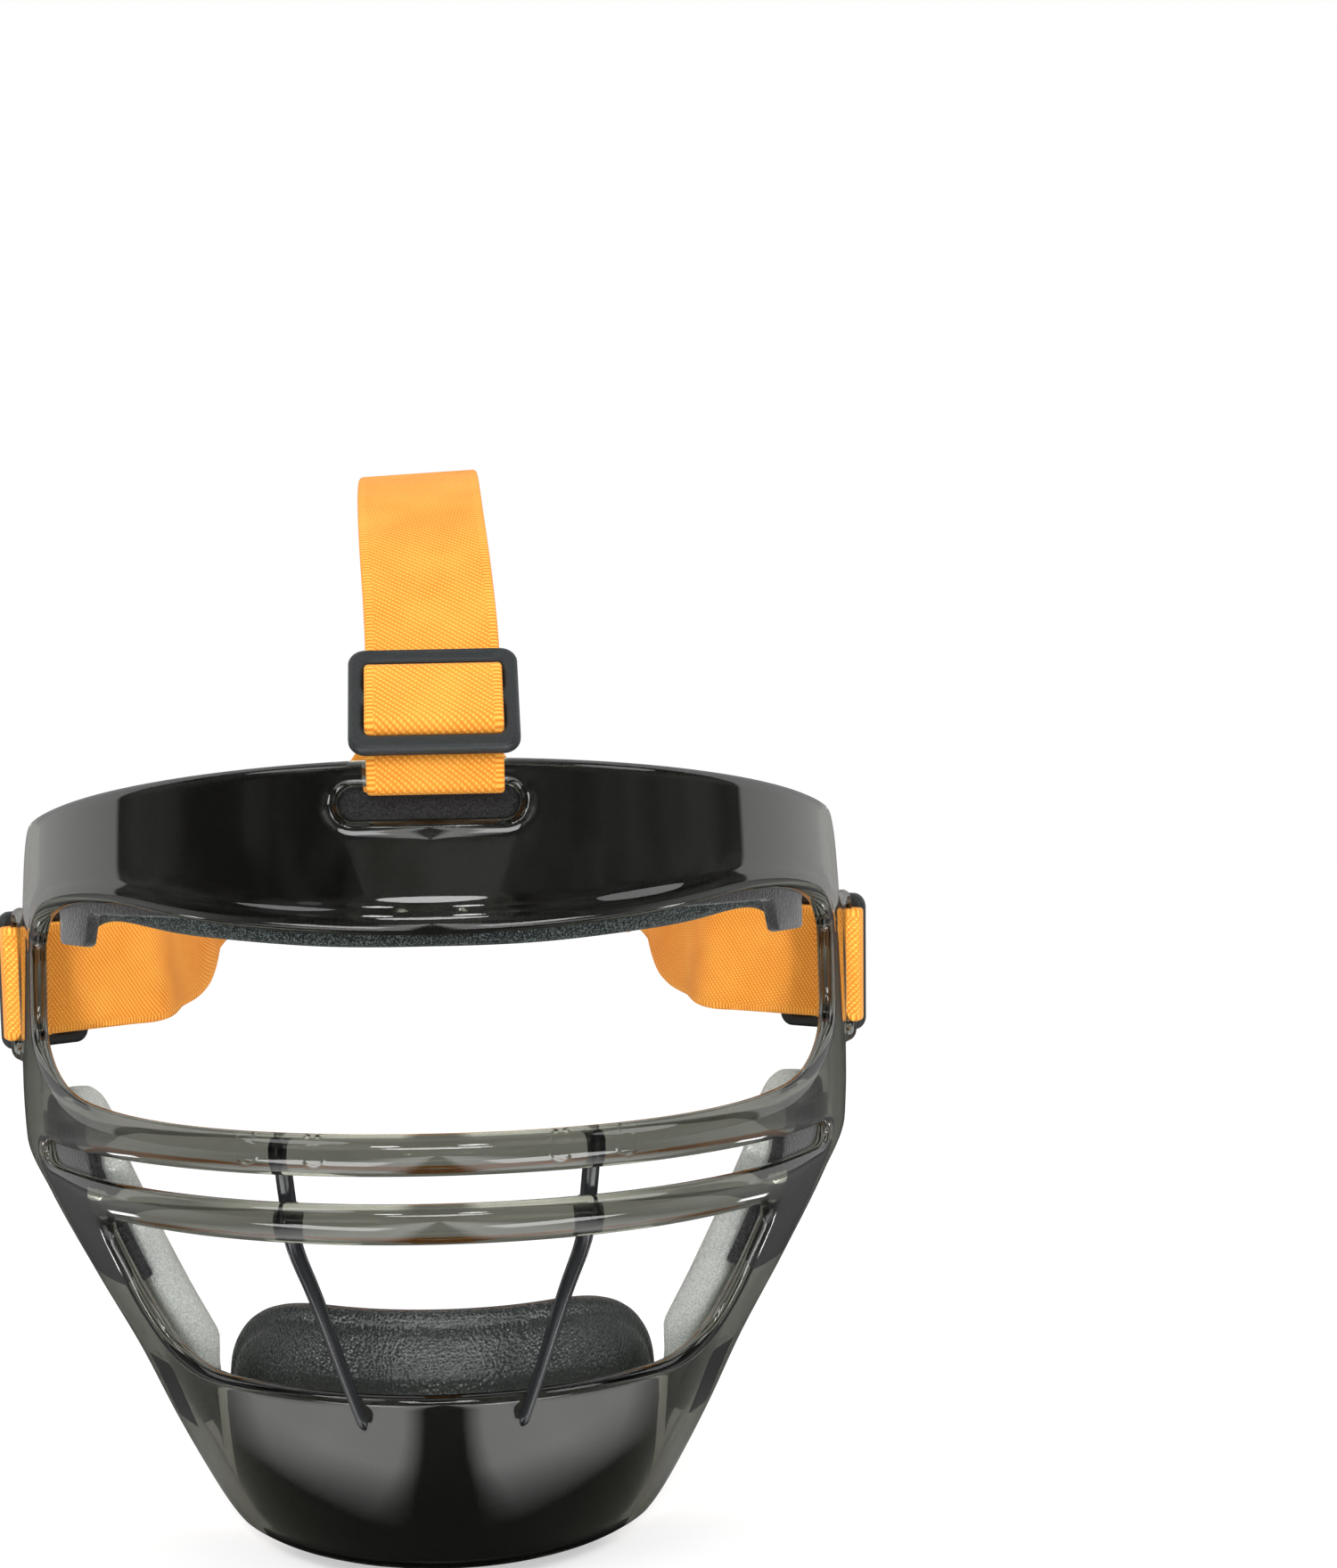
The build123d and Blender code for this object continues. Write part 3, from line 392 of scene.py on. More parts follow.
def ribbon(path, across, width=STRAP_WIDTH, closed=False):
    """Webbing along a path: path + a across + b up, (a, b) running round a flat section with half-round edges."""
    across, up = frames(path, across, closed)
    half, r = width / 2, STRAP_THICKNESS / 2
    flat = np.linspace(-half + r, half - r, 13)
    swing = np.linspace(pi / 2, -pi / 2, 7)
    ring = [(a, r) for a in flat] + [(half - r + r * cos(s), r * sin(s)) for s in swing[1:-1]]
    ring += [(a, -r) for a in flat[::-1]] + [(-half + r - r * cos(s), -r * sin(s)) for s in swing[1:-1]]
    ring = np.array(ring)
    along = lengths(path)
    verts = (path[:, None] + across[:, None] * ring[None, :, :1] + up[:, None] * ring[None, :, 1:]).reshape(-1, 3)
    uv = np.stack([np.broadcast_to(ring[:, 0], (len(path), len(ring))),
                   np.broadcast_to(along[:, None], (len(path), len(ring)))], -1).reshape(-1, 2)
    n = len(ring)
    faces = walls(len(path), n, closed)
    if not closed:
        faces.append(list(range(n))[::-1])
        faces.append([(len(path) - 1) * n + j for j in range(n)])
    return {"mesh": (verts, faces, uv), "path": path, "across": across, "up": up, "along": along, "half": r}


def on_ribbon(strap, aside, along, lift):
    """Points on a strap's outer face, so far from its middle and so far along it."""
    middle, across, up = (np.stack([np.interp(along, strap["along"], column) for column in strap[key].T], -1)
                          for key in ("path", "across", "up"))
    return middle + across * np.asarray(aside)[:, None] + up * lift


def tube(path, widths, depths, across, power=2.0, count=8):
    """Tapering bar closed by small caps; its section is |2a / width|^power + |2b / depth|^power = 1."""
    across, up = frames(path, across)
    swing = np.linspace(0, 2 * pi, count, endpoint=False)
    c, s = np.cos(swing), np.sin(swing)
    ring = np.stack([np.sign(c) * np.abs(c)**(2 / power), np.sign(s) * np.abs(s)**(2 / power)], -1)
    width, depth = np.asarray(widths)[:, None, None] / 2, np.asarray(depths)[:, None, None] / 2
    rows = path[:, None] + across[:, None] * ring[None, :, :1] * width + up[:, None] * ring[None, :, 1:] * depth
    verts = np.vstack([rows.reshape(-1, 3), path[:1], path[-1:]])
    faces = walls(len(path), count)
    first, last, end = len(path) * count, len(path) * count + 1, (len(path) - 1) * count
    faces += [[first, (j + 1) % count, j] for j in range(count)]
    faces += [[last, end + j, end + (j + 1) % count] for j in range(count)]
    return verts, faces, np.zeros((len(verts), 2))


def stitches(strap, lines):
    """Rows of thread on a strap's outer face: each stitch is a short swelling tube between two needle holes."""
    parts = []
    t = np.linspace(0, STITCH_SHARE, 6)
    rise = strap["half"] + 0.02 + 0.22 * np.sin(pi * t / STITCH_SHARE)
    size = 2 * STITCH_RADIUS * np.sqrt(np.clip(np.sin(pi * np.linspace(0.06, 0.94, 6)), 0, 1))
    for line in lines:
        dots = even(line, STITCH_PITCH, closed=False)
        for start, end in zip(dots[:-1], dots[1:]):
            aside, along = (start[i] + (end[i] - start[i]) * t for i in (0, 1))
            parts.append(tube(on_ribbon(strap, aside, along, rise[:, None]), size, size, strap["up"][0] + 0.3))
    return joined(parts)


# Materials

# Where the faint moulding marks stand on the eye bar, x and z, and their radius and line width
MOULD_MARKS = ((-35.0, 4.2), (-22.5, 4.0), (22.5, 4.0), (35.0, 4.2))
MARK_RADIUS, MARK_LINE = 2.0, 0.35


class Value:
    """A node's output. In formulas, + - * and / between values and numbers add Math nodes to its tree."""

    def __init__(self, socket):
        self.socket, self.tree = socket, socket.id_data

    def other(self, name):
        """Another output of the same node."""
        return Value(self.socket.node.outputs[name])

    def into(self, node, name):
        self.tree.links.new(self.socket, node.inputs[name])

    def __add__(self, more):
        return maths("ADD", self, more)

    def __sub__(self, less):
        return maths("SUBTRACT", self, less)

    def __rsub__(self, whole):
        return maths("SUBTRACT", whole, self)

    def __mul__(self, scale):
        return maths("MULTIPLY", self, scale)

    def __truediv__(self, size):
        return maths("DIVIDE", self, size)


def put(tree, kind, inputs=(), output=0, **settings):
    """One output of a new node with its settings, each of whose inputs is either linked or set."""
    node = tree.nodes.new("ShaderNode" + kind)
    for name, value in settings.items():
        setattr(node, name, value)
    for name, value in dict(inputs).items():
        if isinstance(value, Value):
            value.into(node, name)
        else:
            node.inputs[name].default_value = value
    return Value(node.outputs[output])


def maths(operation, *values):
    tree = next(value.tree for value in values if isinstance(value, Value))
    return put(tree, "Math", dict(enumerate(values)), operation=operation)


def apart(value, middle):
    """How far a value is from a middle, either way."""
    return maths("ABSOLUTE", value - middle)


def ramp(value, start, end, low=0.0, high=1.0):
    """A straight slope from low at start to high at end, level outside them."""
    return put(value.tree, "MapRange", {0: value, 1: start, 2: end, 3: low, 4: high})


def noise(place, scale, detail):
    return put(place.tree, "TexNoise", {"Vector": place, "Scale": scale, "Detail": detail}, "Fac")


def group(name, numbers, outputs):
    """A node group whose inputs are a place and some numbers: its tree, the inputs' values and its output node."""
    tree = bpy.data.node_groups.new(name, "ShaderNodeTree")
    tree.interface.new_socket("Vector", in_out="INPUT", socket_type="NodeSocketVector")
    for label, value in numbers.items():
        tree.interface.new_socket(label, in_out="INPUT", socket_type="NodeSocketFloat").default_value = value
    for label in outputs:
        tree.interface.new_socket(label, in_out="OUTPUT", socket_type="NodeSocketFloat")
    given = tree.nodes.new("NodeGroupInput")
    return tree, [Value(given.outputs[label]) for label in ("Vector", *numbers)], tree.nodes.new("NodeGroupOutput")


def twill_group():
    """Diagonal ribs broken into cells, with plain cross ribs along both edges: the strap's height, and a shade that is
    darker in the weave's hollows as painted shade, with random tone over it.
    """
    tree, (place, pitch, edge), result = group("twill", {"Pitch": 0.86, "Edge": 11.0}, ("Height", "Shade"))
    lie_along, lie_across = 0.78, 0.62
    cell_length, row_shift, cross_pitch, border = 0.72, 2.1, 0.85, 0.25
    u = put(tree, "SeparateXYZ", {0: place})
    v = u.other("Y")
    row = (v * lie_along - u * lie_across) / pitch
    rib = maths("COSINE", row * (2 * pi))
    along = (u * lie_along + v * lie_across) * (2 * pi / cell_length)
    cell = maths("COSINE", along + maths("ROUND", row) * row_shift)
    body = (rib + 1.0) * (cell * 0.16 + 0.26) - 0.3
    cross = maths("COSINE", v * (2 * pi / cross_pitch)) * 0.35
    aside = ramp(maths("ABSOLUTE", u), edge - border, edge)
    height = put(tree, "Mix", {0: aside, 2: body, 3: cross}) + 0.5 + noise(place, 3.1, 3.0) * 0.22
    height.into(result, "Height")
    # The shade follows the height, so the hollows between the ribs come out darker: painted shade, with broad random
    # tone added.
    (height * 0.75 + noise(place, 0.06, 2.0) * 0.35).into(result, "Shade")
    return tree


def grain_group():
    """Leather-like skin: rounded cells of one size over soft swells."""
    tree, (place, size), result = group("grain", {"Cells": 900.0}, ("Height", "Shade"))
    bent, fine, swell = noise(place, 260.0, 2.0), noise(place, 2300.0, 3.0), noise(place, 90.0, 3.0)
    cells = put(tree, "TexVoronoi", {"Vector": place, "Scale": size, "Randomness": 0.9}, "Distance", feature="F1")
    (cells * -0.55 + fine * 0.25 + swell * 0.3).into(result, "Height")
    ((bent + fine) * 0.5).into(result, "Shade")
    return tree


def scuff_group():
    """Long faint scratches and cloudy patches, for the roughness of hard plastic and paint."""
    tree, (place, low, high), result = group("scuff", {"Low": 0.03, "High": 0.12}, ("Roughness", "Height"))
    cloud = noise(place, 45.0, 4.0)
    drawn = put(tree, "Mapping", {0: place, 3: (1.0, 1.0, 0.06), 2: (0.5, 0.9, 0.2)})
    lines = ramp(noise(drawn, 900.0, 2.0), 0.68, 0.78)
    ramp((lines * 0.5 + cloud) * 0.8, 0.0, 1.0, low, high).into(result, "Roughness")
    (cloud + lines * 0.3).into(result, "Height")
    return tree


TWILL, GRAIN, SCUFF = twill_group(), grain_group(), scuff_group()


def begin(name, **sockets):
    """A Principled material with plain values on its own sockets, its shader and its place in the object."""
    material = bpy.data.materials.new(name)
    material.use_nodes = True
    shader = material.node_tree.nodes["Principled BSDF"]
    for label, value in sockets.items():
        shader.inputs[label.replace("_", " ")].default_value = value
    return material, shader, put(material.node_tree, "TexCoord", output="Object")


def pattern(which, place, **numbers):
    """First output of a shared pattern, placed with its own numbers."""
    return put(place.tree, "Group", {"Vector": place, **numbers}, node_tree=which)


def tint(shader, part, dark, light):
    mix = put(part.tree, "Mix", {0: part, 6: (*dark, 1), 7: (*light, 1)}, 2, data_type="RGBA")
    mix.into(shader, "Base Color")


def emboss(shader, height, distance, strength=0.9):
    """Bump whose full height is given in millimetres."""
    bump = put(height.tree, "Bump", {"Height": height, "Distance": distance / 1000, "Strength": strength})
    bump.into(shader, "Normal")


def smoke_material():
    """Clear grey-olive plastic with faint moulding marks round the tops of the guard rods."""
    material, shader, place = begin("smoke_plastic", Transmission_Weight=1.0, IOR=1.49, Specular_IOR_Level=0.5)
    rough = pattern(SCUFF, place, Low=0.012, High=0.05)
    rough.into(shader, "Roughness")
    tint(shader, noise(place, 22.0, 2.0), (0.100, 0.102, 0.082), (0.134, 0.136, 0.112))
    marks = []
    for x, z in MOULD_MARKS:
        flat = put(place.tree, "VectorMath", {0: place, 1: (1, 0, 1)}, operation="MULTIPLY")
        centre = (x / 1000, 0, (z - DATUM[2]) / 1000)
        far = put(place.tree, "VectorMath", {0: flat, 1: centre}, "Value", operation="DISTANCE")
        marks.append(ramp(apart(far * 1000.0, MARK_RADIUS), 0.0, MARK_LINE, 1.0, 0.0))
    emboss(shader, rough.other("Height") * 0.02 + sum(marks[1:], marks[0]), 0.07, 0.6)
    return material


def webbing_material():
    """Orange elastic with the twill's relief, and colour darker in the weave's hollows: painted shade."""
    material, shader, place = begin("orange_webbing", Roughness=0.85, Sheen_Weight=0.05, Sheen_Roughness=0.5,
                                    Specular_IOR_Level=0.15)
    height = pattern(TWILL, place.other("UV"))
    # Darker orange where the twill's shade is low, in the hollows between ribs: painted shade over random tone.
    tint(shader, ramp(height.other("Shade"), 0.36, 0.80), (0.70, 0.195, 0.014), (0.95, 0.455, 0.074))
    emboss(shader, height, 0.20)
    return material


def skin_material():
    """Black moulded skin with a leather grain, glossier where it is lighter."""
    material, shader, place = begin("moulded_skin", Specular_IOR_Level=0.8)
    height = pattern(GRAIN, place, Cells=1300.0)
    shade = height.other("Shade")
    tint(shader, shade, (0.005, 0.007, 0.007), (0.018, 0.023, 0.022))
    ramp(shade, 0.0, 1.0, 0.28, 0.16).into(shader, "Roughness")
    emboss(shader, height, 0.55)
    return material


def hard_material(name, dark, light, low, high, depth):
    """Moulded plastic or paint: fine grit, and scuffs that take its roughness from low to high."""
    material, shader, place = begin(name, Specular_IOR_Level=0.32)
    grit = noise(place, 2600.0, 2.0)
    tint(shader, grit, dark, light)
    pattern(SCUFF, place, Low=low, High=high).into(shader, "Roughness")
    emboss(shader, grit, depth, 0.8)
    return material


def loop_material(name, dark, light, sheen, start=0.35):
    """Short pile: fine noise over larger tufts, with sheen at the edges."""
    material, shader, place = begin(name, Roughness=0.85, Sheen_Weight=sheen, Sheen_Roughness=0.45,
                                    Specular_IOR_Level=0.3)
    pile = noise(place, 2900.0, 3.0)
    tufts = put(place.tree, "TexVoronoi", {"Vector": place, "Scale": 1500.0}, "Distance")
    tint(shader, ramp(pile, start, 0.68), dark, light)
    emboss(shader, pile + tufts * 0.8, 0.22)
    return material


SMOKE, WEBBING, SKIN = smoke_material(), webbing_material(), skin_material()
THREAD = hard_material("orange_thread", (0.70, 0.17, 0.02), (0.86, 0.28, 0.04), 0.5, 0.7, 0.05)
FOAM = loop_material("cut_foam", (0.005, 0.007, 0.007), (0.12, 0.145, 0.14), 0.04, 0.47)
PAD_CLOTH = loop_material("silver_cloth", (0.36, 0.38, 0.355), (0.58, 0.60, 0.57), 0.15)
HOOK = loop_material("hook_fabric", (0.006, 0.006, 0.007), (0.035, 0.035, 0.036), 0.25)
BUCKLE = hard_material("black_plastic", (0.009, 0.011, 0.012), (0.026, 0.030, 0.031), 0.36, 0.50, 0.14)
PAINT = hard_material("black_paint", (0.010, 0.011, 0.012), (0.015, 0.016, 0.018), 0.14, 0.26, 0.015)


# Making the pieces

def link(name, data):
    obj = bpy.data.objects.new(name, data)
    bpy.context.scene.collection.objects.link(obj)
    return obj


def add_piece(name, mesh_parts, material, body="guard", replaced=()):
    """Puts a mesh into the frame, on its body, in place of the nodes it replaces."""
    verts, faces, uv = mesh_parts
    mesh = bpy.data.meshes.new(name)
    mesh.from_pydata(((verts - DATUM) / 1000).tolist(), [], faces)
    corner = np.zeros(len(mesh.loops), int)
    mesh.loops.foreach_get("vertex_index", corner)
    mesh.uv_layers.new(name="UVMap").data.foreach_set("uv", uv[corner].astype(np.float32).ravel())
    mesh.polygons.foreach_set("use_smooth", np.ones(len(mesh.polygons), bool))
    mesh.materials.append(material)
    mesh.update()
    piece = link(name, mesh)
    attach(piece, body)
    if replaced:
        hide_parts(*replaced)


def pair(name, node, mesh_parts, material, body="guard"):
    """The right piece as made, and its mirror image on the left."""
    for side, part in (("right", mesh_parts), ("left", mirror_part(mesh_parts))):
        rides = side + "_slider" if body == "slider" else body
        add_piece(name + "_" + side, part, material, rides, (node + "_" + side,))


def both_halves(half):
    """A closed outline from its right half, which runs between two points on the middle line."""
    return np.vstack([half, (half * (-1, 1))[::-1]])


def top_edge(depth):
    """Height of the brow's top edge, which falls 11.8 mm over its 75.5 mm from the front to the ears."""
    return 75.8 - 11.8 * (depth - 8.5) / 75.5


def shell_outline():
    """Brow, ear, upright, strut and chin on the right, then mirrored."""
    foot = -79
    corners = [(-60, top_edge(-60)), (REAR_DEPTH, top_edge(REAR_DEPTH)), (REAR_DEPTH, -3), (56, foot), (-60, foot)]
    side = even(rounded(corners, (0, 11, 9, 12, 0), fine=0.2), 0.3, closed=False)
    flat, real = from_side(side, MID_WALL)
    flat, side = flat[real], side[real]
    flat[:, 0] = np.minimum(flat[:, 0], TURN_SCALE * rear_turn(flat[:, 1], MID_WALL))
    behind = (side[:, 0] > REAR_DEPTH - 0.1) & (flat[:, 1] < EAR_TOP + 1.5) & (flat[:, 1] > EAR_LOW - 1.5)
    first, last = np.flatnonzero(behind)[[0, -1]]
    ear = rounded([(0, 60), (0, EAR_TOP), (EAR_REACH, EAR_TOP), (EAR_REACH, EAR_LOW), (0, EAR_LOW), (0, 0)],
                  (0, 1.5, 4, 4, 1.5, 0), closed=False)[1:-1]
    ear = even(ear, 0.3, closed=False)
    ear = np.c_[TURN_SCALE * rear_turn(ear[:, 1], MID_WALL) + ear[:, 0] / EAR_STRETCH, ear[:, 1]]
    half = np.vstack([[(0, top_edge(10.2))], flat[:first], ear, flat[last + 1:], [(0, foot)]])
    return even(both_halves(half), 1.25)


def shell_holes():
    """The eye opening, the gap between the bars, the opening under them, the brow's slot and the two ear slots."""
    arch = [(0, 43.5), (31.2, 44.8), (49.2, 47.1), (60.3, 48.9), (65.6, 49.0), (73.8, 47.8), (79.4, 44.8), (82, 39.2)]
    floor = [(82, 26.1), (81.2, 20), (78.3, 15), (73.8, 11.5), (67.2, 9.7), (57.4, 8.7), (31.2, 7.9), (0, 7.8)]
    arch = spline([(-x, z) for x, z in arch[:0:-1]] + arch, 0.3)
    floor = spline(floor + [(-x, z) for x, z in floor[-2::-1]], 0.3)
    eye = front_loop(np.vstack([arch, floor]), MID_WALL, 1.1)
    gap = front_loop(rectangle(-80.5, 80.5, -5.1, 0, 2.4), MID_WALL, 1.0)
    cheek = spline([(65, -17), (62.7, -22.2), (59.6, -29), (56.6, -34.1), (53.8, -37.8), (49.8, -40.8), (45.9, -42.2),
                    (42, CHEEK_FOOT)], 0.3)
    roof = rounded([(0, CHEEK_TOP), (65.2, CHEEK_TOP), (65, -17)], (0, 2.2, 0), closed=False)
    mouth = front_loop(both_halves(np.vstack([roof, cheek, [(0, CHEEK_FOOT)]])), MID_WALL, 1.1)
    slot = front_loop(rectangle(-16.5, 16.5, 64.6, 70.6, 2.95), MID_WALL, 0.8, 0.2)
    edge = TURN_SCALE * float(rear_turn(np.array(EAR_MIDDLE), MID_WALL))
    ear = even(rectangle(6.0 / EAR_STRETCH, 11.6 / EAR_STRETCH, 15.7, 43.3, 1.3), 0.8) + (edge, 0)
    return [eye, gap, mouth, slot, ear, ear * (-1, 1)]


def bar_share(u, z):
    """1 in the two bars across the face, easing to 0 at their ends and away from them."""
    half_width = 90
    x = np.abs(half_width * np.sin(np.clip(np.abs(u) / TURN_SCALE, 0, pi / 2)))
    level = np.clip((z + 15.5) / 3, 0, 1) * np.clip((11.5 - z) / 3, 0, 1)
    return ease(np.clip((79 - x) / 12, 0, 1)) * level


def shell_round(u, z):
    """Half the thickness, and the radius of the edges' round.

    The wall is 3.5 mm thick, the bars 5.2 and the ears 3.1; the radius is half of it, and 1.42 times that in the bars.
    """
    share = bar_share(u, z)
    ear = np.clip((np.abs(u) - TURN_SCALE * rear_turn(z, MID_WALL)) / 3, 0, 1)
    half = (WALL + BAR_SWELL * share - EAR_THINNING * ear) / 2
    return half, half * (1 + 0.42 * share)


def shell_faces(d, u, z):
    """Half thickness times sqrt(1 - (1 - d / radius)^2), with two raised features on the outer face.

    A rim 0.75 exp(-(far - 1.6)^2) high stands round the slot, and a half-round lip along the brow's foot.
    """
    half, radius = shell_round(u, z)
    h = half * np.sqrt(1 - (1 - np.clip(d / radius, 0, 1))**2)
    far = np.hypot(np.maximum(np.abs(u) - 13.6, 0), z - 67.6) - 3.0
    rim = 0.75 * np.exp(-(far - 1.6)**2) * np.clip((70.5 - z) / 3, 0, 1)
    reach = np.clip((112 - np.abs(u)) / 20, 0, 1) * np.clip((z - 36) / 5, 0, 1) * (z < 58)
    lip = 0.6 * np.sqrt(np.clip(1 - ((d - 2.3) / 2.2)**2, 0, 1)) * reach
    return h + (rim + lip) * np.clip(d / 0.5, 0, 1), -h


def shell_rings(u, z):
    """Rows of points that follow an edge, at shares of its round's radius."""
    shares = (0, 0.05, 0.17, 0.38, 0.66, 1, 1.35, 1.7, 2.1, 2.5, 2.9)
    return shell_round(u, z)[1][:, None] * np.array(shares)


shell = slab(guard_surface(MID_WALL), [shell_outline()] + shell_holes(), shell_faces, shell_rings, 2.1)
add_piece("clear_shell", shell, SMOKE, replaced=("shell",))


def half_box(thickness, radius):
    """Plate with rounded rims: the flat part of its side stands half the thickness less the radius from the middle."""
    def heights(d, u, z):
        part = 1 - np.clip(d / radius, 0, 1)
        h = thickness / 2 - radius + radius * np.sqrt(1 - part**2)
        return h, -h
    return heights


def layer_outline(inset, margin, rear, low, notch, tab):
    """Outline of a sheet inside the brow that follows its top edge up to a depth, with a tab down at each temple."""
    side = rounded([(-60, top_edge(-60) - margin), (rear, top_edge(rear) - margin), (rear, low), (63, low),
                    (62, low - tab), (50, low - tab), (49, low), (-60, low)], (0, 9, 4, 1, 1, 1, 1, 0), fine=0.3)
    flat, real = from_side(even(side, 0.4, closed=False), inset)
    flat = flat[real]
    flat = flat[flat[:, 0] > notch + 1]
    notch_foot = 69.6
    start = [(0, notch_foot), (notch, notch_foot), (notch, top_edge(12) - margin)]
    return even(both_halves(np.vstack([start, flat, [(0, low)]])), 1.4)


HOOK_RINGS = fixed_rings(0, 0.03, 0.2, 0.6)
strip = slab(guard_surface(BROW_HOOK), [layer_outline(BROW_HOOK, 1.2, 81.5, 46.6, 12.8, 6.6)], half_box(2.6, 0.5),
             HOOK_RINGS, 3.0)
add_piece("brow_hook_fabric", strip, HOOK, replaced=("brow_hook_strip",))


def forehead_outline():
    """The foam's foot is drawn from the front; its top stays 9.5 mm under the brow's top edge."""
    low = spline([(0, 41.0), (20, 41.2), (40, 42.5), (50, 43.5), (58, 44.8), (63, 45.1), (68, 44.0), (71, 42.8),
                  (73.4, 43.6)], 0.4)
    low = from_front(low, FOAM_BASE)
    end = from_front([(74, 50)], FOAM_BASE)[0, 0]
    base = guard_surface(FOAM_BASE)
    high = [(u, top_edge(float(base(np.array(u), np.array(62.0))[1])) - 9.5) for u in np.linspace(end, 0, 8)]
    side = rounded([tuple(low[-1]), (end + 0.4, 46.5), tuple(high[0]), tuple(high[1])], (0, 2, 4, 0), closed=False)
    return even(both_halves(np.vstack([low, side[1:], high[2:]])), 1.3)


def block_faces(d, u, z):
    """A moulded block: 8.2 sqrt(1 - (1 - d / 3.6)^2.4) + 0.7 (1 - exp(-d / 5)) high, and set 0.8 mm into the foam."""
    part = 1 - np.clip(d / 3.6, 0, 1)
    return np.full(len(d), 0.8), -(8.2 * (1 - part**2.4)**0.5 + 0.7 * (1 - np.exp(-d / 5.0)))


backing = slab(guard_surface(FOAM_BASE), [forehead_outline()], half_box(4.0, 1.6),
               fixed_rings(0, 0.05, 0.3, 0.8, 1.7, 3.2), 2.4)
add_piece("forehead_foam", backing, FOAM, replaced=("forehead_pad",))
blocks = []
for left, right, top in ((2.5, 40.0, 60.0), (43.7, 57.0, 57.7), (60.3, 71.4, 54.6)):
    foot = 43.2 + left * 0.03
    corners = [(left, foot), (right, foot + (right - left) * 0.035), (right, top - right * 0.02), (left, top)]
    outline = front_loop(rounded(corners, [2.2] * 4), PAD_FACE, 1.0)
    block = slab(guard_surface(PAD_FACE), [outline], block_faces, fixed_rings(0, 0.08, 0.35, 0.9, 1.8, 3.0), 1.6)
    blocks += [block, mirror_part(block)]
add_piece("forehead_blocks", joined(blocks), SKIN)


def clear_of_cup(points):
    """Pushes points outwards to 0.4 mm from the chin cup where they would stand in it."""
    width, depth, setback = section(CHIN, points[:, 2])
    width, depth, y = width + 0.4, depth + 0.4, points[:, 1] - setback - depth
    far = np.sqrt((points[:, 0] / width)**2 + (y / depth)**2)
    foot, top, rear = -90, -24, 66
    near = (points[:, 2] > foot) & (points[:, 2] < top) & (far < 1) & (points[:, 1] < rear)
    x = np.where(near, np.sqrt(np.maximum(1 - (y / depth)**2, 0)) * width, points[:, 0])
    return np.c_[x, points[:, 1:]]


cheek_side = rounded([(50, 9.5), (76.5, 9.5), (59.6, -64), (50, -64)], (18, 4.5, 3.0, 6), fine=0.3)
cheek_flat = from_side(even(cheek_side, 0.3), PAD_FACE)[0]
cheek = slab(guard_surface(PAD_FACE), [even(cheek_flat, 1.1)], half_box(7.6, 2.6),
             fixed_rings(0, 0.05, 0.35, 1.0, 2.0, 3.2, 5.0), 2.0, clear_of_cup)
pair("cheek_cushion", "cheek_pad", cheek, PAD_CLOTH)
for label, front, back, low, high in (("upper", 45.5, 68.4, -27.0, 5.0), ("lower", 48.4, 60.4, -57.0, -43.0)):
    corners = even(rectangle(front, back, low, high, 1.0), 0.3)
    patch = slab(guard_surface(CHEEK_HOOK), [even(from_side(corners, CHEEK_HOOK)[0], 1.0)], half_box(2.7, 0.5),
                 HOOK_RINGS, 2.0)
    pair("cheek_hook_square_" + label, "cheek_hook_patch_" + label, patch, HOOK)


def within_band(points):
    """Keeps the chin cup inside the guard's inner face: points past the ellipse are drawn in to it."""
    width, depth, setback = section(SHELL, points[:, 2])
    room, band_foot = WALL + 0.35, -79.4
    far = np.sqrt((points[:, 0] / (width - room))**2 + ((points[:, 1] - setback - depth) / (depth - room))**2)
    pull = np.where((points[:, 2] > band_foot) & (far > 1), far, 1)
    return np.c_[points[:, 0] / pull, (points[:, 1] - setback - depth) / pull + setback + depth, points[:, 2]]


def cup_heights(d, u, z):
    """A welt 3 mm thick round a swollen field; its inner face has three upright grooves."""
    part = 1 - np.clip(d / 1.5, 0, 1)
    welt = 1.6 * np.sqrt(1 - part**2) - 0.5 * np.exp(-((d - 3.6) / 0.7)**2)
    swell = np.clip((d - 3.4) / 7.5, 0, 1)
    swell = np.sqrt(1 - (1 - swell)**2)
    x = CUP_SCALE * np.sin(u / CUP_SCALE)
    ends = np.clip((z + 72.5) / 3, 0, 1) * np.clip((-39.5 - z) / 4, 0, 1)
    groove = sum(np.exp(-((x - centre) / 1.25)**2) for centre in (-15.0, 0.0, 15.0)) * ends
    return welt + 0.8 * swell, -(welt + 4.8 * swell - 2.1 * groove * swell)


cup_corners = [(-60, CUP_TOP), (50.8, CUP_TOP), (50.8, CUP_FOOT), (-60, CUP_FOOT)]
cup_side = even(rounded(cup_corners, (0, 26, 27, 0), fine=0.3), 0.3, closed=False)
cup_flat, cup_real = from_side(cup_side, CUP_INSET, CHIN, CUP_SCALE)
cup_half = np.vstack([[(0, CUP_TOP)], cup_flat[cup_real], [(0, CUP_FOOT)]])
cup = slab(cup_surface(CUP_INSET), [even(both_halves(cup_half), 1.1)], cup_heights,
           fixed_rings(0, 0.1, 0.4, 0.9, 1.5, 2.3, 3.0, 3.7, 4.4, 5.3, 6.5, 8.0, 9.6), 1.35, within_band)
add_piece("chin_cup", cup, SKIN, replaced=("chin_pad",))
chin_corners = from_front(rectangle(6, 22, -67, -53, 1.0), CHIN_HOOK)
chin_square = slab(guard_surface(CHIN_HOOK), [even(chin_corners, 1.0)], half_box(1.5, 0.4),
                   fixed_rings(0, 0.03, 0.2, 0.5), 2.0)
pair("chin_hook_square", "chin_hook_patch", chin_square, HOOK)


# Guard rods

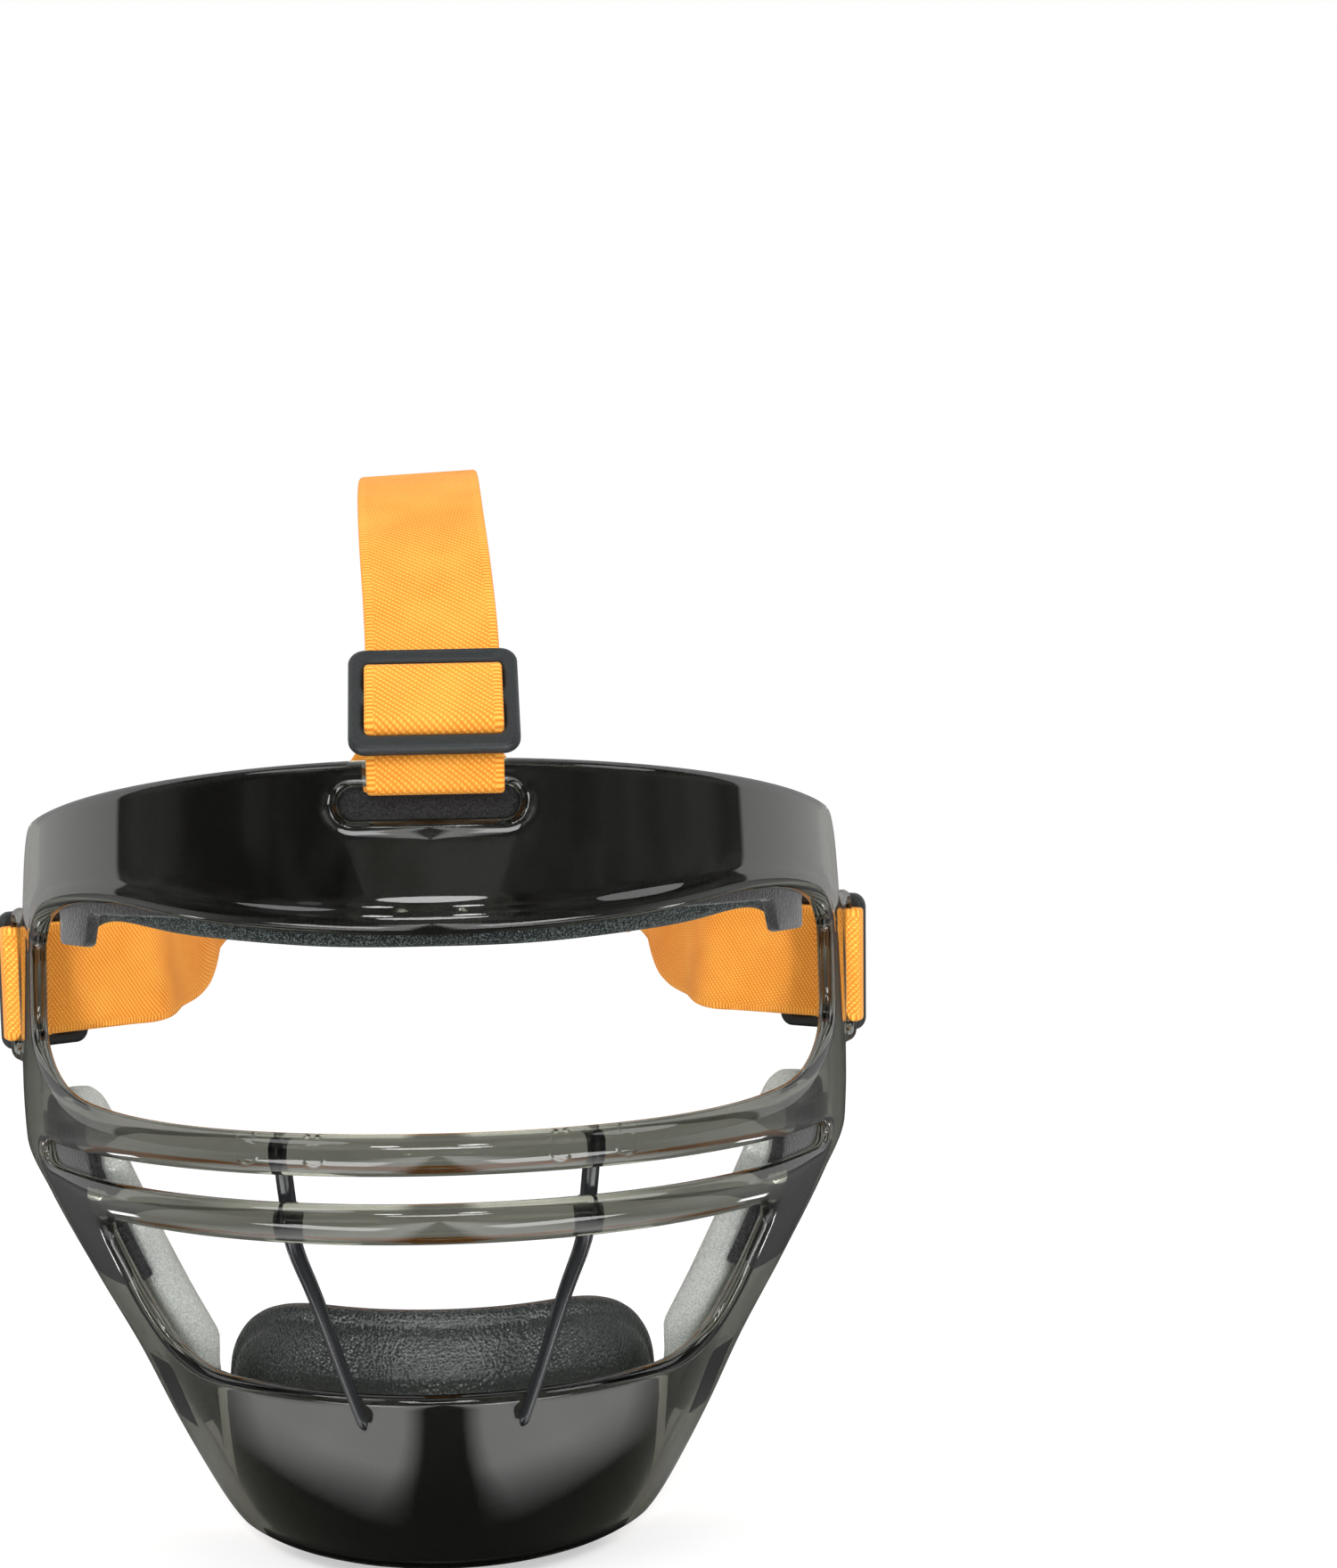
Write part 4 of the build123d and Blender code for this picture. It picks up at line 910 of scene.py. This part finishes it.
rod_path = spline([(29.0, 12.1, 6.0), (28.7, 12.3, 1.0), (27.9, 13.2, -8.0), (27.2, 13.6, -14.0), (24.6, 12.6, -21.0),
                   (19.6, 10.9, -35.0), (14.6, 8.9, -48.8)], 0.8)
run = np.linspace(0, 1, len(rod_path))
tips = np.clip(np.minimum(run / 0.025, (1 - run) / 0.02), 0.06, 1)**0.5
rod_widths = (3.2 - 1.2 * np.clip((run - 0.35) / 0.65, 0, 1)) * tips
rod = tube(rod_path, rod_widths, (4.8 - 2.2 * run) * tips, (1, 0, 0), 2.7, 20)
collar_path = spline([(27.6, 13.5, -6.4), (27.4, 13.7, -9.5), (27.1, 13.7, -12.2)], 0.5)
swell = np.sin(np.linspace(0.35, pi - 0.35, len(collar_path)))**0.5
collar = tube(collar_path, 5.4 * swell, 5.2 * swell, (1, 0, 0), 2.2, 20)
pair("guard_bar", "guard_rod", joined([rod, collar]), PAINT)


# Buckles and harness

def buckle(origin, x_dir, y_dir):
    """Three-bar slide: a plate with two windows, and a shallow empty recess in its upper bar."""
    windows = [rectangle(-12.6, 12.6, z - 3.575, z + 3.575, 1.4) for z in (-4.775, 4.775)]
    loops = [even(rectangle(-15.5, 15.5, -11.75, 11.75, 3.2), 0.6)] + [even(w, 0.7) for w in windows]
    plate = half_box(2.8, 1.0)

    def heights(d, u, z):
        outer, inner = plate(d, u, z)
        sides = np.clip((11.9 - np.abs(u)) / 0.4, 0, 1)
        recess = 0.5 * np.clip((d - 0.55) / 0.35, 0, 1) * (np.abs(z - 10.0) < 1.7) * sides
        return outer - recess, inner
    rings = fixed_rings(0, 0.03, 0.16, 0.40, 0.7, 1.0, 1.3)
    return slab(flat_surface(origin, x_dir, y_dir), loops, heights, rings, 0.8)


def turned_end(origin, x_dir, y_dir, z_dir):
    """Webbing turned round the buckle's centre bar, as a closed band."""
    ring = even(rectangle(-7.35, 7.35, -2.0, 2.0, 1.9), 0.5)
    path = origin + ring[:, :1] * y_dir + ring[:, 1:] * z_dir
    return ribbon(path, x_dir, STRAP_WIDTH + 0.1, closed=True)["mesh"]


# Origin and directions of each slide: across, along the strap and outwards
TOP_PLANE = np.array([(1.3, 10.36, 85.67), (1, 0, 0), (0, 0.616, 0.788), (0, -0.788, 0.616)])
SIDE_PLANE = np.array([(88.84, 110.26, EAR_MIDDLE), (0, 0, 1), (0.669, -0.743, 0), (0.743, 0.669, 0)])
add_piece("buckle_frame_top", buckle(*TOP_PLANE[:3]), BUCKLE, "top_slider", ("buckle_top",))
add_piece("turned_end_top", turned_end(*TOP_PLANE), WEBBING, "top_slider", ("strap_end_top",))
pair("buckle_frame", "buckle", buckle(*SIDE_PLANE[:3]), BUCKLE, "slider")
pair("turned_end", "strap_end", turned_end(*SIDE_PLANE), WEBBING, "slider")

top_corners = [(17.88, 86.52), (14.18, 81.8), (14.18, 69.6), (7.61, 69.6), (7.61, 76.14), (27.90, 102.11),
               (42.0, 116.5), (71.0, 133.4), (106.0, 139.2), (141.0, 129.5), (169.0, 112.5), (194.0, 84.5)]
top_path = rounded([(0, y, z) for y, z in top_corners], [0, 2.2, 0.9, 0.9, 2.2] + [None] * 6 + [0], closed=False)
top_path = even(top_path, 0.8, closed=False)
lean = np.clip((top_path[:, 2] - 92) / 46, 0, 1) * np.clip((185 - top_path[:, 1]) / 70, 0, 1)
top_path[:, 0] = 1.3 * np.clip((190 - top_path[:, 1]) / 30, 0, 1) - 2.2 * ease(lean)
top_strap = ribbon(top_path, np.c_[-np.ones_like(lean), 0 * lean, -0.05 * lean])
add_piece("top_webbing", top_strap["mesh"], WEBBING, replaced=("top_strap",))

side_corners = [(86.74, 104.52), (90.76, 100.06), (88.63, 94.8), (93.45, 92.85), (95.33, 97.51), (70.19, 125.43)]
side_loop = rounded([(x, y, EAR_MIDDLE) for x, y in side_corners], (0, 2.2, 0.9, 0.9, 2.2, 0), closed=False)
side_places = [(70.19, 125.43, EAR_MIDDLE), (66.0, 130.07, EAR_MIDDLE), (62.5, 143.0, 31.3), (58.6, 157.5, 34.0),
               (56.0, 168.0, 41.5), (53.5, 184.0, 45.5), (49.0, 197.3, 44.0), (40.0, 201.6, 43.5)]
side_path = even(np.vstack([side_loop, spline(side_places, 0.8)[1:]]), 0.8, closed=False)
facings = np.array([(0.743, 0.669, 0)] * 2 + [(1, share, 0) for share in (0.38, 0.30, 0.10, 0.30, 1.10, 6.0)])
depth_marks = [place[1] for place in side_places]
facing = np.stack([np.interp(side_path[:, 1], depth_marks, column) for column in unit(facings).T], -1)
across = np.cross(facing, np.gradient(side_path, axis=0))
across[side_path[:, 1] < 126] = (0, 0, 1)
side_strap = ribbon(side_path, across)
pair("side_webbing", "side_strap", side_strap["mesh"], WEBBING)

# Places down a crown leg, and the direction that its outer face looks in
LEG_ROWS = ((2.5, 175.5, 105.2, 0.0, 0.70, 0.71), (3.4, 185.0, 94.6, 0.0, 0.75, 0.67),
            (5.0, 194.0, 84.2, 0.0, 0.77, 0.64), (11.0, 201.2, 73.0, 0.02, 0.88, 0.47),
            (23.5, 205.5, 59.3, 0.08, 0.98, 0.20), (35.0, 206.3, 46.5, 0.12, 1.0, 0.0),
            (39.0, 206.0, 41.5, 0.12, 1.0, 0.0))


def leg(side, layers):
    """Webbing from the crown down to the rear strap, so many layers under the top strap's end."""
    rows = np.array(LEG_ROWS) * (side, 1, 1, side, 1, 1)
    normals = unit(rows[:, 3:])
    places = rows[:, :3] - normals * LAYER_STEP * np.where(np.arange(len(rows)) < 4, layers, 1)[:, None]
    path = even(spline(places, 0.8), 0.8, closed=False)
    normal = np.stack([np.interp(path[:, 2], places[::-1, 2], column) for column in normals[::-1].T], -1)
    return ribbon(path, np.cross(normal, np.gradient(path, axis=0)))["mesh"]


for label, side, layers in (("right", 1, 2), ("left", -1, 1)):
    add_piece("crown_webbing_" + label, leg(side, layers), WEBBING,
              replaced=("crown_strap_" + label,))

rear_half = [(28.0, 207.6), (53.0, 204.6)]
rear_places = [(-x, y, 43.5) for x, y in rear_half[::-1]] + [(0, 208.0, 43.5)] + [(x, y, 43.5) for x, y in rear_half]
rear_path = even(rounded(rear_places, [0, None, None, None, 0], closed=False), 0.8, closed=False)
rear_strap = ribbon(rear_path, (0, 0, -1))
add_piece("rear_webbing", rear_strap["mesh"], WEBBING, replaced=("rear_strap",))

end = top_strap["along"][-1]
corners = [(-10.4, end - 26), (10.4, end - 26), (10.4, end - 2), (-10.4, end - 2)]
box = list(zip(corners, corners[1:] + corners[:1]))
box += [[(-9.6, end - 25), (9.6, end - 3)], [(9.6, end - 25), (-9.6, end - 3)]]
add_piece("crown_stitching", stitches(top_strap, box), THREAD)
length = rear_strap["along"][-1]
rows = [[(-11, at), (11, at)] for at in (2.0, 4.2, 22.0, length - 22.0, length - 4.2, length - 2.0)]
add_piece("rear_stitching", stitches(rear_strap, rows), THREAD)


# Stage, light and camera

def mirror_panels(aside, depth, reach):
    """How bright the floor's panels are to what mirrors them.

    One on each side lights the bars, one on each side of the middle lights the chin, and a small spot stands beside
    each strut. aside and depth are the floor's |x| and y in metres, reach is their length.
    """
    bars = ramp(apart(depth, -0.235), 0.052, 0.046) * ramp(apart(aside, 0.13), 0.09, 0.07) * 9.0
    ahead = ramp(reach, 0.085, 0.112) * ramp(depth, -0.035, -0.065)
    chin = ramp(aside, 0.011, 0.024) * ramp(aside, 0.15, 0.06) * (ahead * 3.2)
    spot = ramp(apart(aside, 0.16), 0.012, 0.008) * ramp(maths("ABSOLUTE", depth), 0.022, 0.016, 0.0, 9.0)
    return maths("MAXIMUM", bars, chin) + spot


def rays(tree):
    """Whether a ray comes from a mirror, and whether it comes from the camera or through clear plastic."""
    glossy = put(tree, "LightPath", output="Is Glossy Ray")
    return glossy, maths("MAXIMUM", glossy.other("Is Camera Ray"), glossy.other("Is Transmission Ray"))


def stage():
    """White floor with the guard's shadow; what mirrors it sees it dark in front, darker near the guard as a painted
    shadow, and with bright panels.
    """
    half, level = 3, -0.1115
    floor = bpy.data.meshes.new("floor")
    corners = [(x * half, y * half, level) for x, y in ((-1, -1), (1, -1), (1, 1), (-1, 1))]
    floor.from_pydata(corners, [], [(0, 1, 2, 3)])
    link("floor", floor)
    material, shader, place = begin("floor_white", Roughness=0.9)
    shader.inputs["Base Color"].default_value = (0.6, 0.6, 0.6, 1)
    tree = place.tree
    glossy, seen = rays(tree)
    across = put(tree, "SeparateXYZ", {0: place})
    aside, depth = maths("ABSOLUTE", across), across.other("Y")
    reach = put(tree, "VectorMath", {0: put(tree, "CombineXYZ", {0: across, 1: depth})}, "Value", operation="LENGTH")
    heading = depth / (reach + 0.001)
    fade = maths("POWER", 1.02 - maths("MAXIMUM", heading, 0.0), 1.6)
    # Within 0.1 to 0.3 m of the guard the floor is darker to mirrors: a painted shadow of the guard.
    room = ramp(heading, -0.70, -0.30, 0.20, 1.0) * (fade * ramp(reach, 0.10, 0.30, 0.15, 1.0))
    glow = glossy * (room + mirror_panels(aside, depth, reach))
    cloth = Value(shader.outputs[0])
    light = put(tree, "Emission", {0: (1, 1, 1, 1), 1: maths("MAXIMUM", seen * 0.46, glow)})
    mirrored = put(tree, "MixShader", {0: glossy, 1: cloth, 2: light})
    both = put(tree, "AddShader", {0: cloth, 1: light})
    put(tree, "MixShader", {0: seen, 1: mirrored, 2: both}).into(tree.nodes["Material Output"], 0)
    floor.materials.append(material)


def sky():
    """White to the camera and through the clear plastic; what mirrors it sees a dark room in front and white behind."""
    world = bpy.data.worlds.new("studio")
    bpy.context.scene.world = world
    world.use_nodes = True
    tree = world.node_tree
    glossy, seen = rays(tree)
    heading = put(tree, "TexCoord", output="Generated")
    behind = put(tree, "SeparateXYZ", {0: heading}, "Y")
    room = ramp(noise(heading, 3.0, 2.0), 0.38, 0.66, 0.03, 0.34)
    wall = put(tree, "Mix", {0: ramp(behind, 0.16, 0.19), 2: room, 3: 1.9})
    fade = maths("POWER", 1.01 - maths("MAXIMUM", behind, 0.0), 0.62)
    above = ramp(behind.other("Z"), 0.80, 0.95, 0.0, 0.9)
    light = glossy * maths("MAXIMUM", wall * fade, above) + (1.0 - glossy) * 0.92
    background = tree.nodes["Background"]
    background.inputs[0].default_value = (1, 1, 1, 1)
    put(tree, "Mix", {0: seen, 2: light, 3: 1.0}).into(background, 1)


def lamp(name, place, aim, width, height, watts, mirrored=True, spread=pi, through=True):
    """An area lamp; it may be hidden from what mirrors it, or from what is seen through the clear plastic."""
    light = bpy.data.lights.new(name, "AREA")
    light.spread, light.shape = spread, "ELLIPSE"
    light.size, light.size_y, light.energy = width, height, watts
    obj = link(name, light)
    obj.location = place
    obj.rotation_euler = (Vector(aim) - Vector(place)).to_track_quat("-Z", "Y").to_euler()
    obj.visible_glossy, obj.visible_transmission = mirrored, through


def camera():
    """The photograph's own view, fitted to the large guard."""
    data = bpy.data.cameras.new("camera")
    data.sensor_width, data.lens = 36.0, 51.457
    data.shift_x, data.shift_y = 0.11370, 0.16231
    data.clip_start, data.clip_end = 0.01, 20.0
    obj = link("camera", data)
    obj.location = (0.0014226, -0.4917861, 0.0390484)
    obj.rotation_euler = Euler([radians(v) for v in (83.80523, 1.20940, -1.36631)], "XYZ")
    bpy.context.scene.camera = obj


stage()
sky()
lamp("softbox_left", (-0.55, -0.45, 0.75), (0, 0, 0), 0.5, 0.35, 1.5)
lamp("softbox_right", (0.65, -0.30, 0.55), (0, 0, 0), 0.35, 0.35, 0.9)
lamp("gleam_left", (-0.12, -0.45, 0.25), (0, -0.05, -0.06), 0.07, 0.05, 0.18, through=False)
lamp("gleam_right", (0.08, -0.45, 0.25), (0, -0.05, -0.06), 0.07, 0.05, 0.18, through=False)
for turn, label in ((-1, "left"), (1, "right")):
    lamp("strap_fill_" + label, (0.075 * turn, -0.42, -0.02), (0.066 * turn, 0.0, 0.0), 0.05, 0.05, 0.018,
         mirrored=False, spread=0.35)
lamp("front_fill", (0.0, -0.95, 0.05), (0, 0, 0), 0.9, 0.5, 3.0, mirrored=False)
lamp("front_card", (0.0, -0.55, 0.20), (0, -0.08, -0.065), 0.30, 0.06, 0.50)
lamp("window_left", (-0.43, -0.62, 0.33), (-0.02, -0.08, 0.04), 0.10, 0.06, 0.012)
camera()
bpy.context.scene.view_settings.view_transform = "Standard"
